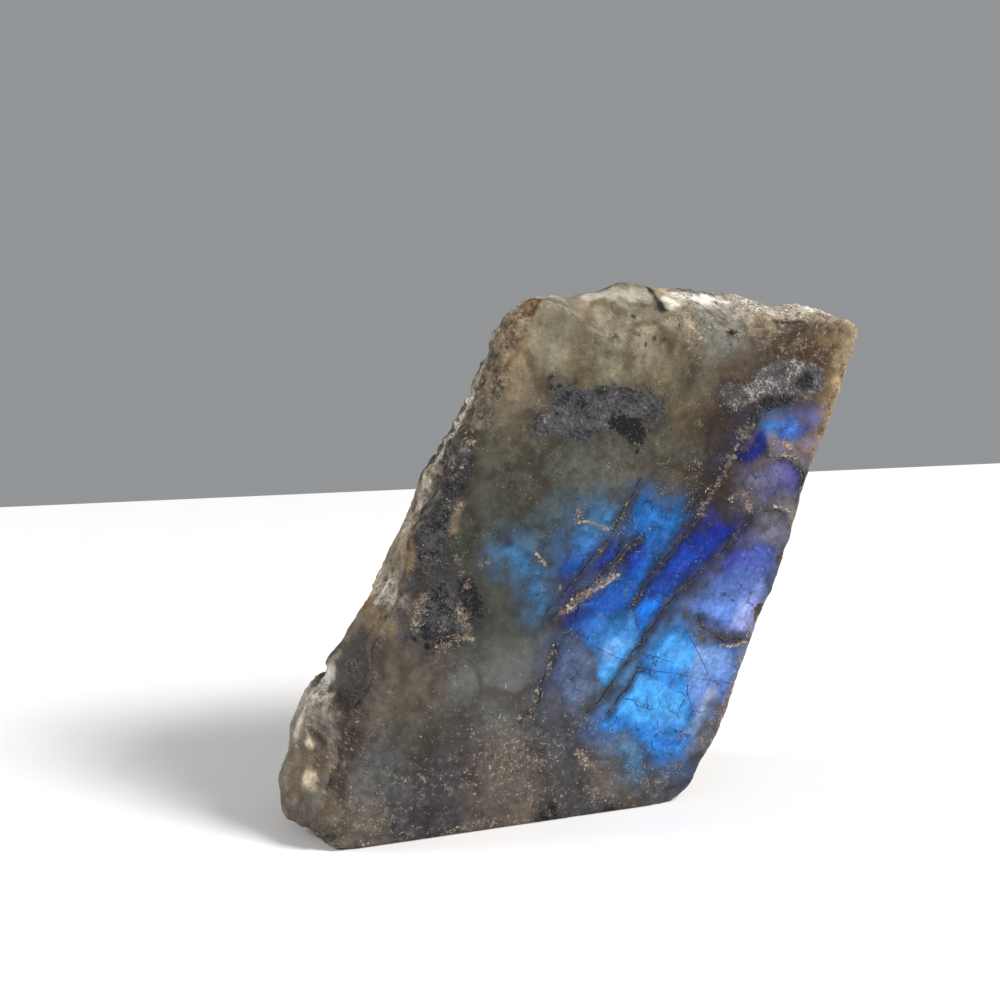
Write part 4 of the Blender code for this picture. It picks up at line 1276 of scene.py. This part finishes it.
def ground_face_material(groups):
    """The ground front: satin, with schiller, cracks, grains and fine scratches."""
    material, n, shader = new_material("ground_labradorite")
    place = n.place()
    gap = n.attribute("crack_gap")
    calm = n.attribute("calm")
    crowd = n.attribute("grain")
    body = place_group(n, groups["feldspar"], {
        "Tint": n.attribute("tint_with_painted_light", "Color"), "Mottling": n.band(calm, 0.0, 1.0, 1.0, 0.45)})
    dark = place_group(n, groups["dark"], {
        "Depth": n.attribute("dark_depth"), "Lightness": n.attribute("dark_light")})
    grains = place_group(n, groups["grains"], {"Amount": crowd, "Size": 0.42})
    dusty = n.band(n.noise(place, 6.0, 3.0), 0.42, 0.62, 0.04, 0.42)
    dusty = n.math("SUBTRACT", n.plus(dusty, n.times(crowd, 0.45)), n.times(calm, 0.35))
    dust = place_group(n, groups["grains"], {"Amount": dusty, "Size": 0.19})
    scratches = place_group(n, groups["scratches"], {
        "Spacing": 1.7, "Share": 0.22, "Length": 0.30, "Width": 0.038})
    pinholes = place_group(n, groups["scratches"], {
        "Spacing": 0.80, "Share": 0.14, "Length": 0.05, "Width": 0.045})

    glow, schiller, depth = schiller_colour(n, place, gap)
    thin = n.band(n.noise(place, 2.0, 4.0), 0.35, 0.65, 0.22, 0.92)
    hazed = n.gain(n.attribute("schiller_tint", "Color"), thin)
    colour = n.mix(n.band(depth, -3.6, 0.2, 0.0, 0.55), body["Colour"], hazed)
    colour = n.mix(glow, colour, schiller)
    colour = n.mix(dark["Halo"], colour, HALO)
    colour = n.mix(dark["Mask"], colour, dark["Colour"])
    colour = stains(n, colour)
    colour, core = crack_marks(n, colour, place, gap)
    clump = n.plus(n.noise(place, 0.85, 5.0, 0.7), n.times(crowd, 0.26), n.times(dusty, 0.03))
    crushed = n.mix(n.band(n.noise(place, 0.45, 4.0, 0.7), 0.42, 0.62), RUBBLE, PALE_RUBBLE)
    colour = n.mix(n.band(clump, 0.67, 0.78, 0.0, 0.75), colour, crushed)
    colour = n.mix(n.times(grains["Mask"], 0.85), colour, grains["Colour"])
    colour = n.mix(n.times(dust["Mask"], 0.68), colour, n.mix(0.35, dust["Colour"], DUST))
    bright = n.times(n.plus(scratches["Mask"], pinholes["Mask"]), n.plus(n.attribute("wear"), 0.13))
    colour = n.mix(n.math("MINIMUM", n.times(bright, 0.85), 1.0), colour, SCRATCH)
    n.put(shader.inputs["Base Color"], colour)

    clear = n.math("SUBTRACT", 1.0, n.plus(grains["Mask"], n.band(gap, -0.1, 0.4, 1.0, 0.0)))
    n.put(shader.inputs["Metallic"], n.times(glow, 0.30, n.math("MAXIMUM", clear, 0.0)))
    satin = n.band(n.noise(place, 2.2, 3.0), 0.3, 0.7, 0.34, 0.50)
    n.put(shader.inputs["Roughness"], n.blend(core, n.blend(dark["Mask"], satin, 0.80), 0.90))
    height = n.plus(n.times(body["Height"], 0.5), n.times(dark["Mask"], dark["Height"]))
    height = n.plus(height, n.times(grains["Mask"], 0.6))
    height = n.math("SUBTRACT", height, n.times(core, 0.5))
    bump = n.add("ShaderNodeBump", {"Strength": 0.6, "Distance": FACE_BUMP * MM, "Height": height})
    n.put(shader.inputs["Normal"], bump.outputs[0])
    shader.inputs["IOR"].default_value = FELDSPAR_IOR
    shader.inputs["Specular IOR Level"].default_value = FACE_SPECULAR
    return material


def broken_side_material(groups):
    """The broken sides: glassy breaks with streaks, granular ones with pale and dark grains. The silvery
    streaks are painted glints, the hollows get painted shade and the ridges painted highlights.
    """
    material, n, shader = new_material("broken_labradorite")
    place = n.place()
    lively = n.math("SUBTRACT", 1.0, n.attribute("calm"))
    granular = n.band(n.attribute("glassy"), 0.25, 0.70, 1.0, 0.0)
    body = place_group(n, groups["feldspar"], {
        "Tint": n.attribute("tint_with_painted_light", "Color"), "Clouds": 1.2, "Mottling": n.plus(0.8, granular)})
    dark = place_group(n, groups["dark"], {
        "Depth": n.attribute("dark_depth"), "Lightness": n.attribute("dark_light")})
    grains = place_group(n, groups["grains"], {
        "Amount": n.plus(n.attribute("grain"), n.times(granular, 0.45)), "Size": 0.55})

    stained = n.times(n.band(n.noise(place, 2.6, 4.0, 0.6), 0.50, 0.68, 0.0, 0.60), lively)
    colour = n.mix(stained, body["Colour"], BROWN_STAIN)
    pitted = n.band(n.noise(place, 0.55, 4.0, 0.7), 0.40, 0.50, 1.0, 0.0)
    colour = n.mix(n.times(pitted, n.plus(0.12, n.times(granular, 0.55)), lively), colour, PIT)
    streaks = n.noise(n.along(n.shaken(place, 1.6, 0.9), 0.75, (2.6, 1.6, 0.42)), 0.7, 4.0, 0.65)
    streaky = n.times(n.plus(n.attribute("streaked"), 0.25), lively)
    colour = n.mix(n.times(n.band(streaks, 0.36, 0.48, 0.45, 0.0), streaky), colour, DARK_STREAK)
    # Pale streaks: painted glints along the breaks
    colour = n.mix(n.times(n.band(streaks, 0.60, 0.68, 0.0, 0.75), streaky), colour, PAINTED_STREAK_GLINT)
    colour = n.mix(dark["Mask"], colour, dark["Colour"])
    hollow = n.attribute("hollowness")
    # Hollows darkened: painted shade
    colour = n.mix(n.times(n.band(hollow, 0.015, 0.10, 0.0, 0.75), lively), colour, PAINTED_HOLLOW_SHADE)
    # Ridges lightened: painted highlight
    colour = n.mix(n.times(n.band(hollow, -0.12, -0.03, 0.28, 0.0), granular), colour, PAINTED_RIDGE_HIGHLIGHT)
    colour = stains(n, colour)
    colour = n.mix(n.times(grains["Mask"], lively, 0.85), colour, grains["Colour"])
    n.put(shader.inputs["Base Color"], colour)

    n.put(shader.inputs["Roughness"], n.blend(granular, n.band(streaks, 0.3, 0.7, 0.45, 0.22), 0.55))
    height = n.plus(n.times(body["Height"], granular, 1.2), n.times(streaks, 0.9))
    height = n.plus(height, n.times(grains["Mask"], 0.5))
    bump = n.add("ShaderNodeBump", {"Strength": 0.8, "Distance": SIDE_BUMP * MM, "Height": height})
    n.put(shader.inputs["Normal"], bump.outputs[0])
    shader.inputs["IOR"].default_value = FELDSPAR_IOR
    shader.inputs["Specular IOR Level"].default_value = SIDE_SPECULAR
    shader.inputs["Subsurface Weight"].default_value = 0.30
    shader.inputs["Subsurface Radius"].default_value = (1.0, 0.75, 0.45)
    shader.inputs["Subsurface Scale"].default_value = 2.5 * MM
    return material


def dress_stone(stone, on_face):
    groups = {
        "feldspar": feldspar_group(),
        "dark": dark_mineral_group(),
        "grains": grains_group(),
        "scratches": scratches_group(),
    }
    mesh = stone.data
    mesh.materials.clear()
    mesh.materials.append(ground_face_material(groups))
    mesh.materials.append(broken_side_material(groups))
    corners = np.empty(len(mesh.loops), np.int32)
    mesh.loops.foreach_get("vertex_index", corners)
    starts = np.empty(len(mesh.polygons), np.int32)
    mesh.polygons.foreach_get("loop_start", starts)
    ground = np.logical_and.reduceat(on_face[corners], starts)
    mesh.polygons.foreach_set("material_index", np.where(ground, 0, 1).astype(np.int32))
    mesh.shade_smooth()


def build_stone():
    stone = fine_copy(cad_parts["labradorite_chunk"], "rough_stone")
    break_finely(stone)
    on_face = grind_face(stone)
    on_face = wear_border(stone, on_face)
    round_arris(stone, on_face)
    mark_stone(stone)
    dress_stone(stone, on_face)
    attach(stone, "root")
    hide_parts("labradorite_chunk")


# ---------------------------------------------------------------- floor, light, camera


def build_floor():
    mesh = bpy.data.meshes.new("floor")
    mesh.from_pydata([Vector(corner) * MM for corner in FLOOR_CORNERS], [], [(0, 1, 2, 3)])
    floor = bpy.data.objects.new("floor", mesh)
    bpy.context.scene.collection.objects.link(floor)
    material, n, shader = new_material("pale_floor")
    n.put(shader.inputs["Base Color"], n.mix(n.noise(n.place(), 9.0, 3.0), *FLOOR_SHADES))
    shader.inputs["Roughness"].default_value = 0.8
    shader.inputs["Specular IOR Level"].default_value = 0.2
    mesh.materials.append(material)


def add_lamp(name, place, size, power, colour):
    data = bpy.data.lights.new(name, "AREA")
    data.shape = "RECTANGLE"
    data.size = size * MM
    data.size_y = size * MM
    data.energy = power
    data.color = colour
    lamp = bpy.data.objects.new(name, data)
    bpy.context.scene.collection.objects.link(lamp)
    lamp.location = Vector(place) * MM
    lamp.rotation_euler = (Vector(LAMP_AIM) - Vector(place)).to_track_quat("-Z", "Y").to_euler()


def light_scene():
    world = bpy.data.worlds.new("soft_room")
    world.use_nodes = True
    back = world.node_tree.nodes["Background"]
    back.inputs["Color"].default_value = (*ROOM_COLOUR, 1.0)
    back.inputs["Strength"].default_value = 1.0
    bpy.context.scene.world = world
    for lamp in LAMPS:
        add_lamp(*lamp)
    bpy.context.scene.view_settings.view_transform = "Standard"


def place_camera():
    data = bpy.data.cameras.new("camera")
    data.sensor_fit = "HORIZONTAL"
    data.sensor_width = SENSOR
    data.lens = LENS
    data.clip_start = 0.01
    camera = bpy.data.objects.new("camera", data)
    bpy.context.scene.collection.objects.link(camera)
    camera.location = Vector(CAMERA_PLACE) * MM
    camera.rotation_euler = (math.pi / 2 - CAMERA_PITCH, 0.0, CAMERA_AZIMUTH)
    bpy.context.scene.camera = camera


place_camera()
build_stone()
build_floor()
light_scene()
